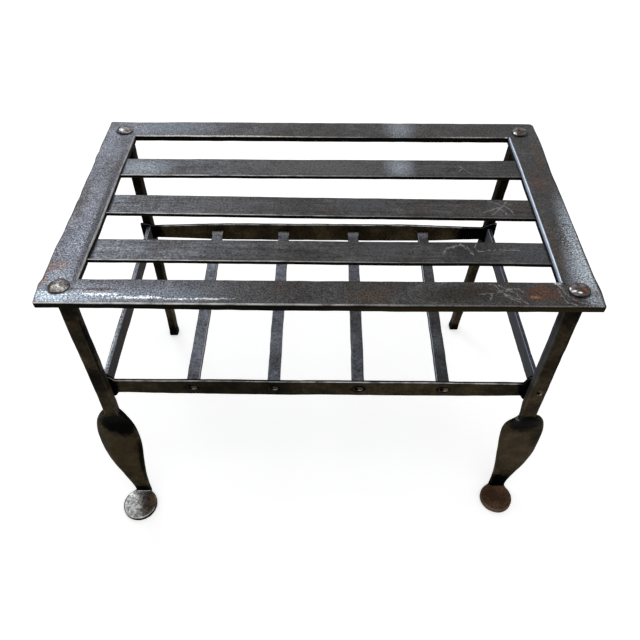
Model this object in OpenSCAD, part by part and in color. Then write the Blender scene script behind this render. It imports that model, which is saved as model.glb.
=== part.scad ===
// Hand-forged fireplace trivet: a slatted top on four legs, with a barred shelf below.
// The front legs swell into leaves and end in round penny feet.
// Millimetres. Z is up, X runs along the width, Y runs from the front to the back.
// The origin lies on the floor, under the middle of the whole stand.

/* [Top] */
// Width of the top, over the side bars
top_w = 460; // [400:1:560]
// Depth of the top, front edge to back edge
top_d = 275; // [250:1:360]
// Height of the top surface over the floor
stand_h = 325; // [270:1:420]
// Thickness of the four frame bars
bar_t = 6; // [5:0.5:10]
// Width of the two side bars
side_bar_w = 33.5; // [28:0.5:42]
// Width of the front bar
front_bar_w = 28; // [25:0.5:38]
// Width of the back bar
back_bar_w = 29; // [25:0.5:38]
// Radius of three outer corners of the top
corner_r = 1.5; // [0.5:0.5:6]
// Radius of the fourth outer corner, at the back right
worn_corner_r = 4.5; // [0.5:0.5:6]
// Width of the bevel along the inner upper edge of each side bar
inner_bevel = 2.5; // [0.5:0.5:4]

/* [Slats] */
// Width of a slat
slat_w = 26.5; // [18:0.5:32]
// Thickness of a slat, which lies flush with the underside of the frame
slat_t = 4; // [2.5:0.5:4.5]
// Length of a slat's end that sits in its rebate under a side bar
slat_seat = 12; // [6:1:20]
// Clear gap between the front bar and the first slat
first_gap = 25.75; // [15:0.25:32]

/* [Front legs] */
// Width of a front leg's bar, seen from the front
front_leg_w = 14.5; // [12:0.5:18]
// Depth of a front leg's bar, front to back
front_leg_d = 9; // [7:0.5:12]
// Distance of a front leg's axis from the side edge of the top
front_leg_in = 17; // [14:0.5:20]
// Distance of a front leg's axis from the front edge of the top
front_leg_back = 17; // [14:0.5:20]

/* [Leaves] */
// Height at which a front leg starts to swell into its leaf
neck_z = 146; // [138:1:160]
// Distance of a leaf's outer edge from the leg's axis, at its widest
leaf_outer = 25; // [15:0.1:32]
// Distance of the left leaf's inner edge from the leg's axis, at its widest
left_leaf_inner = 19.2; // [15:0.1:32]
// Distance of the right leaf's inner edge from the leg's axis, at its widest
right_leaf_inner = 19.7; // [15:0.1:32]
// Thickness of the left leg's neck, front to back
left_neck_t = 8.5; // [5:0.5:9]
// Thickness of the right leg's neck
right_neck_t = 5.5; // [5:0.5:9]
// Thickness of a leaf
leaf_t = 5; // [4:0.5:7]
// How far the face of a leaf falls back under the neck
hollow = 3.5; // [0:0.5:4]
// Width of the hammered bevel along a leaf's edges
leaf_bevel = 5; // [1:0.5:6]

/* [Front feet] */
// Diameter of the left penny foot
left_foot_d = 38; // [32:0.5:46]
// Diameter of the right penny foot
right_foot_d = 36; // [32:0.5:46]
// Thickness of a penny foot
foot_t = 6; // [4:0.5:9]
// Radius of the hollows where the ankle spreads into the foot
foot_fillet = 5; // [2:0.5:8]
// Width of the left ankle, which stands on its foot
left_ankle_w = 16.7; // [14:0.1:20]
// Width of the right ankle
right_ankle_w = 17.5; // [14:0.1:20]
// Thickness of the ankle, front to back
ankle_t = 6; // [4:0.5:8]
// How far the left ankle stands inward of the leg's axis
left_ankle_in = 6.8; // [1:0.1:9]
// How far the right ankle stands inward of the leg's axis
right_ankle_in = 2.5; // [1:0.1:9]
// How far the left foot's centre stands inward of the leg's axis
left_foot_in = 6; // [1:0.5:9]
// How far the right foot's centre stands inward of the leg's axis
right_foot_in = 6.5; // [1:0.5:9]
// Distance of the left foot's centre in front of its ankle
left_reach = 16; // [13:0.5:18]
// Distance of the right foot's centre in front of its ankle
right_reach = 15; // [13:0.5:18]
// How far the left ankle is swept forward of its bar
left_kick = 11.5; // [0:0.5:18]
// How far the right ankle is swept forward of its bar
right_kick = 0; // [0:0.5:18]

/* [Back legs] */
// Side of a back leg's square bar
back_leg_w = 11.5; // [9:0.5:14]
// Distance of a back leg's axis from the side edge of the top
back_leg_in = 19; // [15:0.5:22]
// Distance of a back leg's axis from the back edge of the top
back_leg_front = 18; // [14:0.5:20]
// How far the right back leg leans toward the middle at its foot
lean = 19; // [0:1:30]
// How far the left back foot is bent forward
left_bend = 5; // [0:0.5:14]
// How far the right back foot is bent backward
right_bend = 10; // [0:0.5:14]

/* [Rivet heads] */
// Diameter of the round tenon on top of each leg
leg_tenon_d = 8; // [5:0.5:9]
// Diameter of the hammered head on each leg's tenon
head_d = 18; // [14:0.5:24]
// Height of the hammered head over the top
head_h = 3.3; // [2:0.1:5]
// Height of the upright rim of the hammered head
head_rim = 1; // [0.4:0.1:1.5]
// Height of the hammered end of a shelf tenon
peen_h = 1.2; // [0.5:0.1:2]

/* [Shelf] */
// Height of the upper edge of the front strip over the floor
front_strip_z = 192; // [190:1:205]
// Height of the upper edge of the back strip and the side strips over the floor
back_strip_z = 200; // [197:1:208]
// Height of the front strip, which stands on edge
front_strip_h = 19; // [16:0.5:22]
// Height of the back strip, which stands on edge
back_strip_h = 17.5; // [15:0.5:22]
// Thickness of the front and back strips
strip_t = 3; // [2.5:0.5:5]
// How far the front strip's left end is flared up
front_left_flare = 5; // [2:0.5:12]
// How far the front strip's right end is flared up
front_right_flare = 11; // [2:0.5:12]
// How far the back strip's left end is flared up
back_left_flare = 3.5; // [2:0.5:12]
// How far the back strip's right end is flared up
back_right_flare = 7; // [2:0.5:12]
// How far the ends of both strips are flared down
flare_down = 6; // [2:0.5:9]
// Height of the two side strips
side_strip_h = 20; // [16:0.5:24]
// Thickness of the two side strips
side_strip_t = 4.5; // [3:0.5:6]
// Width of a crossbar
crossbar_w = 12.5; // [9:0.5:18]
// Thickness of a crossbar
crossbar_t = 4.5; // [3.5:0.5:8]
// Depth of the crossbars' upper faces below the strips' upper edges
crossbar_drop = 7.5; // [5:0.5:10]
// Distance of the outer crossbars' centre lines from the sides of the top
crossbar_margin = 105.5; // [75:0.5:130]

/* [Hidden] */
$fn = 64;

fit = 0.1; // clearance on each side of a tenon or a slat's end
cut = 1; // overrun of a cutting shape past the face it cuts
slat_n = 3;
crossbar_n = 4;
slat_shift = [0, -1, -2.2]; // how far each slat sits off even spacing, front to back
crossbar_shift = [-1.5, -4, -3, -1.5]; // how far each crossbar sits off even spacing, left to right

// The top's own edges and levels
left_x = -top_w / 2;
right_x = top_w / 2;
toe_reach = max(left_kick + left_reach + left_foot_d / 2, right_kick + right_reach + right_foot_d / 2);
foot_front = toe_reach + front_leg_d / 2 - front_leg_back;
front_y = (foot_front - top_d) / 2;
back_y = front_y + top_d;
under_z = stand_h - bar_t;
lap_z = stand_h - bar_t / 2;
inner_bevel_h = min(inner_bevel, bar_t - slat_t) / 2; // depth of the side bars' bevel, clear of the slats

// Leg axes, and the faces of the legs that the shelf is fastened to
front_axis_y = front_y + front_leg_back;
back_axis_y = back_y - back_leg_front;
front_leg_x = [left_x + front_leg_in, right_x - front_leg_in];
back_leg_x = [left_x + back_leg_in, right_x - back_leg_in];
front_leg_rear = front_axis_y + front_leg_d / 2;
back_leg_face = back_axis_y - back_leg_w / 2;

// Edges of the leaves, each as the height of its widest place, the bluntness of its shoulder
// (0.4 is square, 1.5 is drawn in) and how late it falls in below (1 is even, 2 is late)
left_outer_edge = [102, 0.54, 1.22];
left_inner_edge = [87, 0.79, 0.68];
right_outer_edge = [106, 0.42, 1.65];
right_inner_edge = [116, 1.2, 0.82];
hollow_z = 125; // height at which the leaf's face lies farthest back
thinning = 20; // length over which a bar is drawn thin above its neck
thin_z = neck_z + thinning;
thin_steps = 8;
ankle_z = 8; // height at which the leaf has narrowed to the ankle
instep_z = 16; // height at which the ankle stands upright
leaf_steps = 32;
leaf_crowding = 1.5; // how much closer together the leaf's sections stand near its shoulder
bar_bevel = 0.8;
bevel_slope = 0.3; // depth of a bevel as a share of its width
toe_r = 1; // rounding of a penny foot's upper edge

// Back legs: flared toes, and the height below which they bend
toe_z = 14;
toe_flare = 0.5;
bend_z = 170;

// Shelf: the ends of the long strips and what passes through them
flare_steps = 10;
front_flare = [front_leg_w, 5.5]; // length of the flat end and of the flare beside it
back_flare = [3, 17];
back_end_past = 1.5; // how far a back strip's end reaches past its leg
back_reach = back_leg_w / 2 + back_end_past; // the same from the leg's axis
front_strip_y = front_leg_rear;
front_strip_rear = front_strip_y + strip_t;
back_strip_y = back_leg_face - strip_t;
crossbar_tenon_w = crossbar_w - 4.5;
crossbar_tenon_h = crossbar_t - 1;
side_tenon_w = side_strip_t - 1;
side_tenon_h = 7;
peen_over = 0.9; // how far a hammered end spreads past its tenon, on each side
peen_edge = 0.3; // height that the corners of a hammered end keep
front_tenon_z = front_strip_z - crossbar_drop - crossbar_t / 2;
back_tenon_z = back_strip_z - crossbar_drop - crossbar_t / 2;
side_tenon_z = back_strip_z - side_strip_h / 2;
left_strip_x = left_x + front_leg_in + 3;
right_strip_x = right_x - front_leg_in + 1;

iron = [0.27, 0.27, 0.29];
dark_iron = [0.17, 0.16, 0.14];

// Share of a smooth step from 0 to 1 that is reached at u
function ease(u) = (1 - cos(180 * min(1, max(0, u)))) / 2;

// Value that lies the share s of the way from a to b
function mix(a, b, s) = a + (b - a) * s;

// The same list from its end to its start
function backward(list) = [for (i = [len(list) - 1:-1:0]) list[i]];

// Distance of a leaf's edge from the leg's axis at height z, its shape given as in left_outer_edge
function leaf_edge(z, widest, ankle, shape) =
    z > shape[0]
        ? mix(front_leg_w / 2, widest, pow(sin(90 * max(0, neck_z - z) / (neck_z - shape[0])), shape[1]))
        : mix(widest, ankle, ease(pow(max(0, shape[0] - z) / (shape[0] - ankle_z), shape[2])));

// Place of a front leg's front face at height z, from the leg's axis
function leg_face(z, kick) =
    z > hollow_z
        ? -front_leg_d / 2 + hollow * ease((neck_z - z) / (neck_z - hollow_z))
        : mix(hollow - front_leg_d / 2, -front_leg_d / 2 - kick, ease((hollow_z - z) / (hollow_z - instep_z)));

// Thickness of a front leg at height z: the bar thins to its neck and then to its leaf
function leg_thickness(z, neck_t) =
    z > neck_z
        ? mix(front_leg_d, neck_t, ease((thin_z - z) / thinning))
        : z > hollow_z
            ? mix(neck_t, leaf_t, ease((neck_z - z) / (neck_z - hollow_z)))
            : mix(leaf_t, ankle_t, ease((hollow_z - z) / (hollow_z - instep_z)));

// Width of the bevels at height z: narrow on the bar and the ankle, wide on the leaf
function leg_bevel(z) =
    mix(bar_bevel, leaf_bevel, ease(2 * (neck_z - z) / neck_z) * ease(2 * z / neck_z));

// Eight-sided section from x0 to x1 and y0 to y1, its corners cut by bw across and bd deep
function bevelled(x0, x1, y0, y1, bw, bd) = [
    [x0, y0 + bd], [x0 + bw, y0], [x1 - bw, y0], [x1, y0 + bd],
    [x1, y1 - bd], [x1 - bw, y1], [x0 + bw, y1], [x0, y1 - bd]];

// Section of the bar of a front leg, on the leg's axis
bar_section = bevelled(
    -front_leg_w / 2, front_leg_w / 2, -front_leg_d / 2, front_leg_d / 2, bar_bevel, bar_bevel);

// Solid through rings of points, each ring given as [height, section]
module loft(rings) {
    count = len(rings[0][1]);
    last = len(rings) - 1;
    points = [for (ring = rings) for (p = ring[1]) [p[0], p[1], ring[0]]];
    lower = [for (i = [0:last - 1]) for (j = [0:count - 1])
        [i * count + j, (i + 1) * count + j, (i + 1) * count + (j + 1) % count]];
    upper = [for (i = [0:last - 1]) for (j = [0:count - 1])
        [i * count + j, (i + 1) * count + (j + 1) % count, i * count + (j + 1) % count]];
    floor_face = [for (j = [0:count - 1]) j];
    top_face = [for (j = [count - 1:-1:0]) last * count + j];
    polyhedron(points, concat(lower, upper, [floor_face], [top_face]));
}

// Round tenon of a leg, and its hammered head on the top of the frame
module leg_head() {
    cap_h = head_h - head_rim;
    cap_r = (pow(head_d / 2, 2) + pow(cap_h, 2)) / (2 * cap_h);
    translate([0, 0, under_z])
        cylinder(h = bar_t, d = leg_tenon_d);
    translate([0, 0, stand_h])
        cylinder(h = head_rim, d = head_d);
    translate([0, 0, stand_h + head_rim])
        intersection() {
            translate([0, 0, cap_h - cap_r])
                sphere(r = cap_r);
            cylinder(h = cap_h, d = head_d);
        }
}

// Hollow between a foot of diameter d and the side of its ankle, at the distance side from the foot's centre
module instep(d, side) {
    centre_x = side + foot_fillet;
    centre_y = sqrt(pow(d / 2 + foot_fillet, 2) - pow(centre_x, 2));
    linear_extrude(height = foot_t)
        difference() {
            polygon([[0, 0], [centre_x, centre_y], [0, centre_y]]);
            translate([centre_x, centre_y])
                circle(r = foot_fillet);
        }
}

// Flat round foot, its upper edge rounded off, spreading from an ankle between x0 and x1
module penny_foot(d, x0, x1) {
    r = d / 2;
    rotate_extrude()
        union() {
            square([r, foot_t - toe_r]);
            square([r - toe_r, foot_t]);
            translate([r - toe_r, foot_t - toe_r])
                circle(r = toe_r);
        }
    instep(d, x1);
    mirror([1, 0, 0])
        instep(d, -x0);
}

// Front leg on its own axis, with its inner side toward +X
module front_leg(outer_edge, inner, inner_edge, neck_t, ankle_w, ankle_in, kick, foot_d, foot_in, reach) {
    outer_side = ankle_in - ankle_w / 2;
    inner_side = ankle_in + ankle_w / 2;
    leaf_heights = [for (i = [0:leaf_steps]) neck_z * (1 - pow(1 - i / leaf_steps, leaf_crowding))];
    thin_heights = [for (i = [1:thin_steps]) neck_z + thinning * i / thin_steps];
    rings = [for (z = concat(leaf_heights, thin_heights))
        let (face = leg_face(z, kick),
            rear = face + leg_thickness(z, neck_t),
            bevel = leg_bevel(z),
            x0 = -leaf_edge(z, leaf_outer, -outer_side, outer_edge),
            x1 = leaf_edge(z, inner, inner_side, inner_edge))
        [z, bevelled(x0, x1, face, rear, bevel, max(bar_bevel, bevel * bevel_slope))]];
    loft(rings);
    translate([0, 0, thin_z])
        linear_extrude(height = under_z - thin_z)
            polygon(bar_section);
    translate([foot_in, -front_leg_d / 2 - kick - reach, 0])
        penny_foot(foot_d, outer_side - foot_in, inner_side - foot_in);
    leg_head();
}

// Back leg on its own axis: square, bent below the shelf, its foot shifted by dx and dy
module back_leg(dx, dy) {
    levels = [0, toe_z, bend_z, under_z];
    rings = [for (z = levels)
        let (half = back_leg_w / 2 + (z == 0 ? toe_flare : 0),
            x = dx * (1 - z / under_z),
            y = dy * max(0, 1 - z / bend_z))
        [z, bevelled(x - half, x + half, y - half, y + half, bar_bevel, bar_bevel)]];
    loft(rings);
    leg_head();
}

// Hole for a leg's round tenon
module leg_tenon_hole(x, y) {
    translate([x, y, under_z - cut])
        cylinder(h = bar_t + 2 * cut, d = leg_tenon_d + 2 * fit);
}

// Holes for the tenons of all four legs
module leg_tenon_holes() {
    for (x = front_leg_x)
        leg_tenon_hole(x, front_axis_y);
    for (x = back_leg_x)
        leg_tenon_hole(x, back_axis_y);
}

// What is cut from an upright outer corner to round it, sx and sy telling which corner
module corner_cut(sx, sy, r) {
    translate([sx * top_w / 2, sy > 0 ? back_y : front_y, under_z - cut])
        difference() {
            translate([-r * (sx + 1) / 2 - cut * (1 - sx) / 2, -r * (sy + 1) / 2 - cut * (1 - sy) / 2, 0])
                cube([r + cut, r + cut, bar_t + 2 * cut]);
            translate([-sx * r, -sy * r, -cut])
                cylinder(h = bar_t + 4 * cut, r = r);
        }
}

module corner_cuts() {
    for (sx = [-1, 1])
        for (sy = [-1, 1])
            corner_cut(sx, sy, sx + sy == 2 ? worn_corner_r : corner_r);
}

// Front or back bar of the frame: full length, its upper half lapped over the side bars
module lapped_bar(y, width) {
    difference() {
        translate([left_x, y, under_z])
            cube([top_w, width, bar_t]);
        for (x = [left_x - cut, right_x - side_bar_w])
            translate([x, y - cut, under_z - cut])
                cube([side_bar_w + cut, width + 2 * cut, lap_z - under_z + cut]);
        leg_tenon_holes();
        corner_cuts();
    }
}

// What is cut from the right side bar to bevel its inner upper edge, between the front and back bars
module inner_edge_cut() {
    slope = inner_bevel_h / inner_bevel;
    translate([right_x - side_bar_w, back_y - back_bar_w, stand_h])
        rotate([90, 0, 0])
            linear_extrude(height = top_d - front_bar_w - back_bar_w)
                polygon([[-cut, -inner_bevel_h - cut * slope], [inner_bevel + cut / slope, cut], [-cut, cut]]);
}

// Side bar of the frame: its lower half runs under the front and back bars
module side_bar(x) {
    difference() {
        translate([x, front_y, under_z])
            cube([side_bar_w, top_d, bar_t]);
        translate([x - cut, front_y - cut, lap_z])
            cube([side_bar_w + 2 * cut, front_bar_w + cut, bar_t]);
        translate([x - cut, back_y - back_bar_w, lap_z])
            cube([side_bar_w + 2 * cut, back_bar_w + cut, bar_t]);
        for (i = [0:slat_n - 1])
            slat_rebate(i);
        inner_edge_cut();
        mirror([1, 0, 0])
            inner_edge_cut();
        leg_tenon_holes();
        corner_cuts();
    }
}

// Front edge of slat i, counted from the front
even_gap = (top_d - front_bar_w - back_bar_w - first_gap - slat_n * slat_w) / slat_n;
function slat_y(i) = front_y + front_bar_w + first_gap + i * (slat_w + even_gap) + slat_shift[i];

slat_length = top_w - 2 * side_bar_w + 2 * slat_seat;

module slat(i) {
    color(iron)
        translate([-slat_length / 2, slat_y(i), under_z])
            cube([slat_length, slat_w, slat_t]);
}

// Space that slat i needs, with its clearance
module slat_rebate(i) {
    translate([-slat_length / 2 - fit, slat_y(i) - fit, under_z - cut])
        cube([slat_length + 2 * fit, slat_w + 2 * fit, slat_t + cut]);
}

// Edge of a strip's flared end, from its tip to its straight run, rise being how far the tip stands off
function flared_edge(x, inward, z, rise, run) = concat([[x, z + rise]], [for (i = [0:flare_steps])
    [x + inward * (run[0] + run[1] * i / flare_steps), z + rise * (1 - ease(i / flare_steps))]]);

// Front or back strip on edge from x0 to x1, its front face at y, its edges at the heights z0 and z1
module long_strip(x0, x1, y, z0, z1, left_rise, right_rise, run) {
    outline = concat(
        flared_edge(x0, 1, z1, left_rise, run),
        backward(flared_edge(x1, -1, z1, right_rise, run)),
        flared_edge(x1, -1, z0, -flare_down, run),
        backward(flared_edge(x0, 1, z0, -flare_down, run)));
    translate([0, y + strip_t, 0])
        rotate([90, 0, 0])
            linear_extrude(height = strip_t)
                polygon(outline);
}

// Low pillow that the hammered end of a tenon spreads into, facing -Y from the face it lies on
module peened_end(w, h) {
    rise = peen_h - peen_edge;
    r = (pow(w, 2) + pow(h, 2)) / (8 * rise) + rise / 2;
    intersection() {
        translate([0, r - peen_h, 0])
            sphere(r = r);
        translate([-w / 2, -peen_h, -h / 2])
            cube([w, peen_h, h]);
    }
}

// Straight rectangular tenon along Y, from y0 to y1, grown by the gap on its four sides
module flat_tenon(x, z, w, h, y0, y1, gap) {
    translate([x - w / 2 - gap, y0, z - h / 2 - gap])
        cube([w + 2 * gap, y1 - y0, h + 2 * gap]);
}

// Centre line of crossbar i, counted from the left
crossbar_pitch = (top_w - 2 * crossbar_margin) / (crossbar_n - 1);
function crossbar_x(i) = left_x + crossbar_margin + i * crossbar_pitch + crossbar_shift[i];

// Crossbar i: a flat bar that climbs to the back, with a tenon hammered over outside each long strip
module crossbar(i) {
    x = crossbar_x(i);
    w = crossbar_tenon_w;
    h = crossbar_tenon_h;
    half = crossbar_t / 2;
    color(iron) {
        translate([x - crossbar_w / 2, 0, 0])
            rotate([90, 0, 90])
                linear_extrude(height = crossbar_w)
                    polygon([[front_strip_rear, front_tenon_z - half], [back_strip_y, back_tenon_z - half],
                        [back_strip_y, back_tenon_z + half], [front_strip_rear, front_tenon_z + half]]);
        flat_tenon(x, front_tenon_z, w, h, front_strip_y, front_strip_rear + cut, 0);
        flat_tenon(x, back_tenon_z, w, h, back_strip_y - cut, back_leg_face, 0);
        translate([x, front_strip_y, front_tenon_z])
            peened_end(w + 2 * peen_over, h + 2 * peen_over);
        translate([x, back_leg_face, back_tenon_z])
            mirror([0, 1, 0])
                peened_end(w + 2 * peen_over, h + 2 * peen_over);
    }
}

// Mortises for the four crossbars' tenons in the strip whose front face is at y
module crossbar_mortises(y, z) {
    for (i = [0:crossbar_n - 1])
        flat_tenon(crossbar_x(i), z, crossbar_tenon_w, crossbar_tenon_h, y - cut, y + strip_t + cut, fit);
}

// Place of the right back leg's axis at the height of the side strips' tenons
back_right_x = back_leg_x[1] - lean * (1 - side_tenon_z / under_z);

// Tenon of a side strip, with its hole when the gap is not zero
module side_tenon(x, y0, y1, gap) {
    flat_tenon(x, side_tenon_z, side_tenon_w, side_tenon_h, y0, y1, gap);
}

// Side strip on edge from xf at the front to xb at the back, with its shoulders against the long strips
module side_strip(xf, xb) {
    half = side_strip_t / 2;
    y0 = front_strip_rear;
    translate([0, 0, back_strip_z - side_strip_h])
        linear_extrude(height = side_strip_h)
            polygon([[xf - half, y0], [xf + half, y0], [xb + half, back_strip_y], [xb - half, back_strip_y]]);
    side_tenon(xf, front_axis_y - front_leg_d / 2, y0 + cut, 0);
    side_tenon(xb, back_strip_y - cut, back_axis_y + back_leg_w / 2, 0);
}

// Hammered end of a side strip's tenon
module side_peen() {
    peened_end(side_tenon_w + 2 * peen_over, side_tenon_h + 2 * peen_over);
}

// The same on the rear face of a back leg
module back_side_peen(x) {
    translate([x, back_axis_y + back_leg_w / 2, side_tenon_z])
        mirror([0, 1, 0])
            side_peen();
}

module frame_front_bar() {
    color(iron)
        lapped_bar(front_y, front_bar_w);
}

module frame_back_bar() {
    color(iron)
        lapped_bar(back_y - back_bar_w, back_bar_w);
}

module frame_left_bar() {
    color(iron)
        side_bar(left_x);
}

module frame_right_bar() {
    color(iron)
        side_bar(right_x - side_bar_w);
}

module leg_front_left() {
    color(dark_iron)
        difference() {
            translate([front_leg_x[0], front_axis_y, 0])
                front_leg(left_outer_edge, left_leaf_inner, left_inner_edge, left_neck_t, left_ankle_w,
                    left_ankle_in, left_kick, left_foot_d, left_foot_in, left_reach);
            side_tenon(left_strip_x, front_axis_y - front_leg_d, front_axis_y + front_leg_d, fit);
        }
}

module leg_front_right() {
    color(dark_iron)
        difference() {
            translate([front_leg_x[1], front_axis_y, 0])
                mirror([1, 0, 0])
                    front_leg(right_outer_edge, right_leaf_inner, right_inner_edge, right_neck_t,
                        right_ankle_w, right_ankle_in, right_kick, right_foot_d, right_foot_in, right_reach);
            side_tenon(right_strip_x, front_axis_y - front_leg_d, front_axis_y + front_leg_d, fit);
        }
}

module leg_back_left() {
    color(dark_iron)
        difference() {
            translate([back_leg_x[0], back_axis_y, 0])
                back_leg(0, -left_bend);
            side_tenon(left_strip_x, back_axis_y - back_leg_w, back_axis_y + back_leg_w, fit);
        }
}

module leg_back_right() {
    color(dark_iron)
        difference() {
            translate([back_leg_x[1], back_axis_y, 0])
                back_leg(-lean, right_bend);
            side_tenon(back_right_x, back_axis_y - back_leg_w, back_axis_y + back_leg_w, fit);
        }
}

module shelf_front_strip() {
    color(dark_iron)
        difference() {
            long_strip(front_leg_x[0] - front_leg_w / 2, front_leg_x[1] + front_leg_w / 2, front_strip_y,
                front_strip_z - front_strip_h, front_strip_z, front_left_flare, front_right_flare, front_flare);
            crossbar_mortises(front_strip_y, front_tenon_z);
            side_tenon(left_strip_x, front_strip_y - cut, front_strip_rear + cut, fit);
            side_tenon(right_strip_x, front_strip_y - cut, front_strip_rear + cut, fit);
        }
}

module shelf_back_strip() {
    color(dark_iron)
        difference() {
            long_strip(back_leg_x[0] - back_reach, back_right_x + back_reach, back_strip_y,
                back_strip_z - back_strip_h, back_strip_z, back_left_flare, back_right_flare, back_flare);
            crossbar_mortises(back_strip_y, back_tenon_z);
            side_tenon(left_strip_x, back_strip_y - cut, back_leg_face + cut, fit);
            side_tenon(back_right_x, back_strip_y - cut, back_leg_face + cut, fit);
        }
}

// The left strip's front tenon is dressed flush with the leg
module shelf_left_strip() {
    color(iron) {
        side_strip(left_strip_x, left_strip_x);
        back_side_peen(left_strip_x);
    }
}

module shelf_right_strip() {
    color(iron) {
        side_strip(right_strip_x, back_right_x);
        translate([right_strip_x, front_axis_y - front_leg_d / 2, side_tenon_z])
            side_peen();
        back_side_peen(back_right_x);
    }
}

module slat_front() { slat(0); }
module slat_middle() { slat(1); }
module slat_back() { slat(2); }

module shelf_crossbar_1() { crossbar(0); }
module shelf_crossbar_2() { crossbar(1); }
module shelf_crossbar_3() { crossbar(2); }
module shelf_crossbar_4() { crossbar(3); }

frame_front_bar();
frame_back_bar();
frame_left_bar();
frame_right_bar();
slat_front();
slat_middle();
slat_back();
leg_front_left();
leg_front_right();
leg_back_left();
leg_back_right();
shelf_front_strip();
shelf_back_strip();
shelf_left_strip();
shelf_right_strip();
shelf_crossbar_1();
shelf_crossbar_2();
shelf_crossbar_3();
shelf_crossbar_4();
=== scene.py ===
# %% [markdown]
# A hand-forged iron trivet for the hearth. It is made of flat and square bar that a smith heated,
# hammered, lapped and riveted. Nothing on it is dead straight and no edge is sharp, because the hammer
# and years of pots and ash have softened all of it. This lesson builds that look in three layers.
# First comes a clean shape for each bar, with sizes taken from the fixed frame.
# Then Geometry Nodes push the surface about, as a hammer does.
# Last come shader nodes, which paint scale, wear, rust and soot, and painted light as well: the sheen
# and highlights of the window, and shade in hollows, under parts and on steep sides.

import math

import bmesh
import bpy
import numpy as np
from mathutils import Matrix, Vector


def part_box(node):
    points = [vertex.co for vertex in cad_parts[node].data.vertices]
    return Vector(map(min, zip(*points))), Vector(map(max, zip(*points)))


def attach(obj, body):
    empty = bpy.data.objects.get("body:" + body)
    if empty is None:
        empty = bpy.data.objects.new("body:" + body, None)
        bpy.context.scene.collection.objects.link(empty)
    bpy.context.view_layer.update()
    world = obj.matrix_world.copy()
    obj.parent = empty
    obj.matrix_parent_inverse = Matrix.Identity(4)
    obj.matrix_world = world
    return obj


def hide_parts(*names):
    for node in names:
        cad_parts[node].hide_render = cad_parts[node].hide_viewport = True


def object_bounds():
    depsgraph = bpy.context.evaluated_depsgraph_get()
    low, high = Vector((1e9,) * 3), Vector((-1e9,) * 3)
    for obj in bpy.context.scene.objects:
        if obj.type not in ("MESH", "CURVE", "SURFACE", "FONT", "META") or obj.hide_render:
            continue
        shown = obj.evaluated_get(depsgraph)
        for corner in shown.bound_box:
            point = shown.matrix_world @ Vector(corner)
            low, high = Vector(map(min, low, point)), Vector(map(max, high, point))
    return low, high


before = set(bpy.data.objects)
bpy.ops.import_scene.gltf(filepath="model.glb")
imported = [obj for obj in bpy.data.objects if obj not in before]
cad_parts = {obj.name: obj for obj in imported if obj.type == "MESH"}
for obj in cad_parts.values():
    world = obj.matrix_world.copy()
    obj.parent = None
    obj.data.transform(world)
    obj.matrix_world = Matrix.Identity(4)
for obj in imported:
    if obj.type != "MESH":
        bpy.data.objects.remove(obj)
cad_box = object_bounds()
print("nodes in the frame:", len(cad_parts))

# %% [markdown]
# Lengths are metres unless a line says millimetres. The frame's own boxes give the places of the bars,
# so a changed trivet would carry its looks along. Only what a box can't tell, such as the outline of a
# leaf, is named here.

# %% Sizes from the frame
MM = 0.001


def ease(u):
    """A smooth step from 0 to 1."""
    return (1 - math.cos(math.pi * min(1.0, max(0.0, u)))) / 2


def mix(a, b, share):
    """The value that lies the share of the way from a to b."""
    return a + (b - a) * share


front_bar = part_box("frame_front_bar")
back_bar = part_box("frame_back_bar")
left_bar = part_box("frame_left_bar")
right_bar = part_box("frame_right_bar")
top_z = front_bar[1].z
under_z = front_bar[0].z
FRONT_INSET, BACK_INSET = 17 * MM, 18 * MM  # from the outer faces of the bars to the axes of the legs
front_axis = front_bar[0].y + FRONT_INSET
back_axis = back_bar[1].y - BACK_INSET
lap_z = (top_z + under_z) / 2
outer_low = Vector((left_bar[0].x, front_bar[0].y))
outer_high = Vector((right_bar[1].x, back_bar[1].y))
inner_low = Vector((left_bar[1].x, front_bar[1].y))
inner_high = Vector((right_bar[0].x, back_bar[0].y))
print("top, mm:", [round(v / MM, 1) for v in (outer_high - outer_low)], "at", round(top_z / MM, 1))

# %% [markdown]
# Small helpers keep every node tree readable. One adds a node, sets its properties and fills its inputs
# with values or with wires from other nodes. Others do one sum each, or make a group with named sockets.

# %% Helpers for node trees
def feed(tree, socket, value):
    """Give an input a number, or a wire from another node's output."""
    if isinstance(value, bpy.types.NodeSocket):
        tree.links.new(value, socket)
    else:
        socket.default_value = value


def add(tree, kind, values=None, **settings):
    """A new node in the tree; values maps its inputs to numbers or to other nodes' outputs."""
    node = tree.nodes.new(kind)
    for name, value in settings.items():
        setattr(node, name, value)
    for key, value in (values or {}).items():
        feed(tree, node.inputs[key], value)
    return node


def calc(tree, operation, *values, clamp=False):
    """Output of a Math node on up to three values."""
    node = add(tree, "ShaderNodeMath", dict(enumerate(values)), operation=operation, use_clamp=clamp)
    return node.outputs[0]


def times(tree, product, *others):
    """The product of two or more values."""
    for value in others:
        product = calc(tree, "MULTIPLY", product, value)
    return product


def vector(tree, operation, *values):
    """Output of a Vector Math node. A length or a dot product comes out as one number."""
    node = add(tree, "ShaderNodeVectorMath", operation=operation)
    for socket, value in zip([s for s in node.inputs if s.enabled], values):
        feed(tree, socket, value)
    return node.outputs["Value" if operation in ("LENGTH", "DOT_PRODUCT") else "Vector"]


def scaled(tree, value, factor):
    """A vector or a colour made larger or smaller by a factor."""
    return add(tree, "ShaderNodeVectorMath", {0: value, "Scale": factor}, operation="SCALE").outputs[0]


def parts(tree, value):
    """The X, Y and Z of a vector."""
    return add(tree, "ShaderNodeSeparateXYZ", {0: value}).outputs


def remap(tree, value, low, high, to_low=0.0, to_high=1.0, smooth=False):
    """The value carried from one range to another and held inside it."""
    return add(tree, "ShaderNodeMapRange",
               {"Value": value, "From Min": low, "From Max": high, "To Min": to_low, "To Max": to_high},
               interpolation_type="SMOOTHSTEP" if smooth else "LINEAR").outputs[0]


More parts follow.
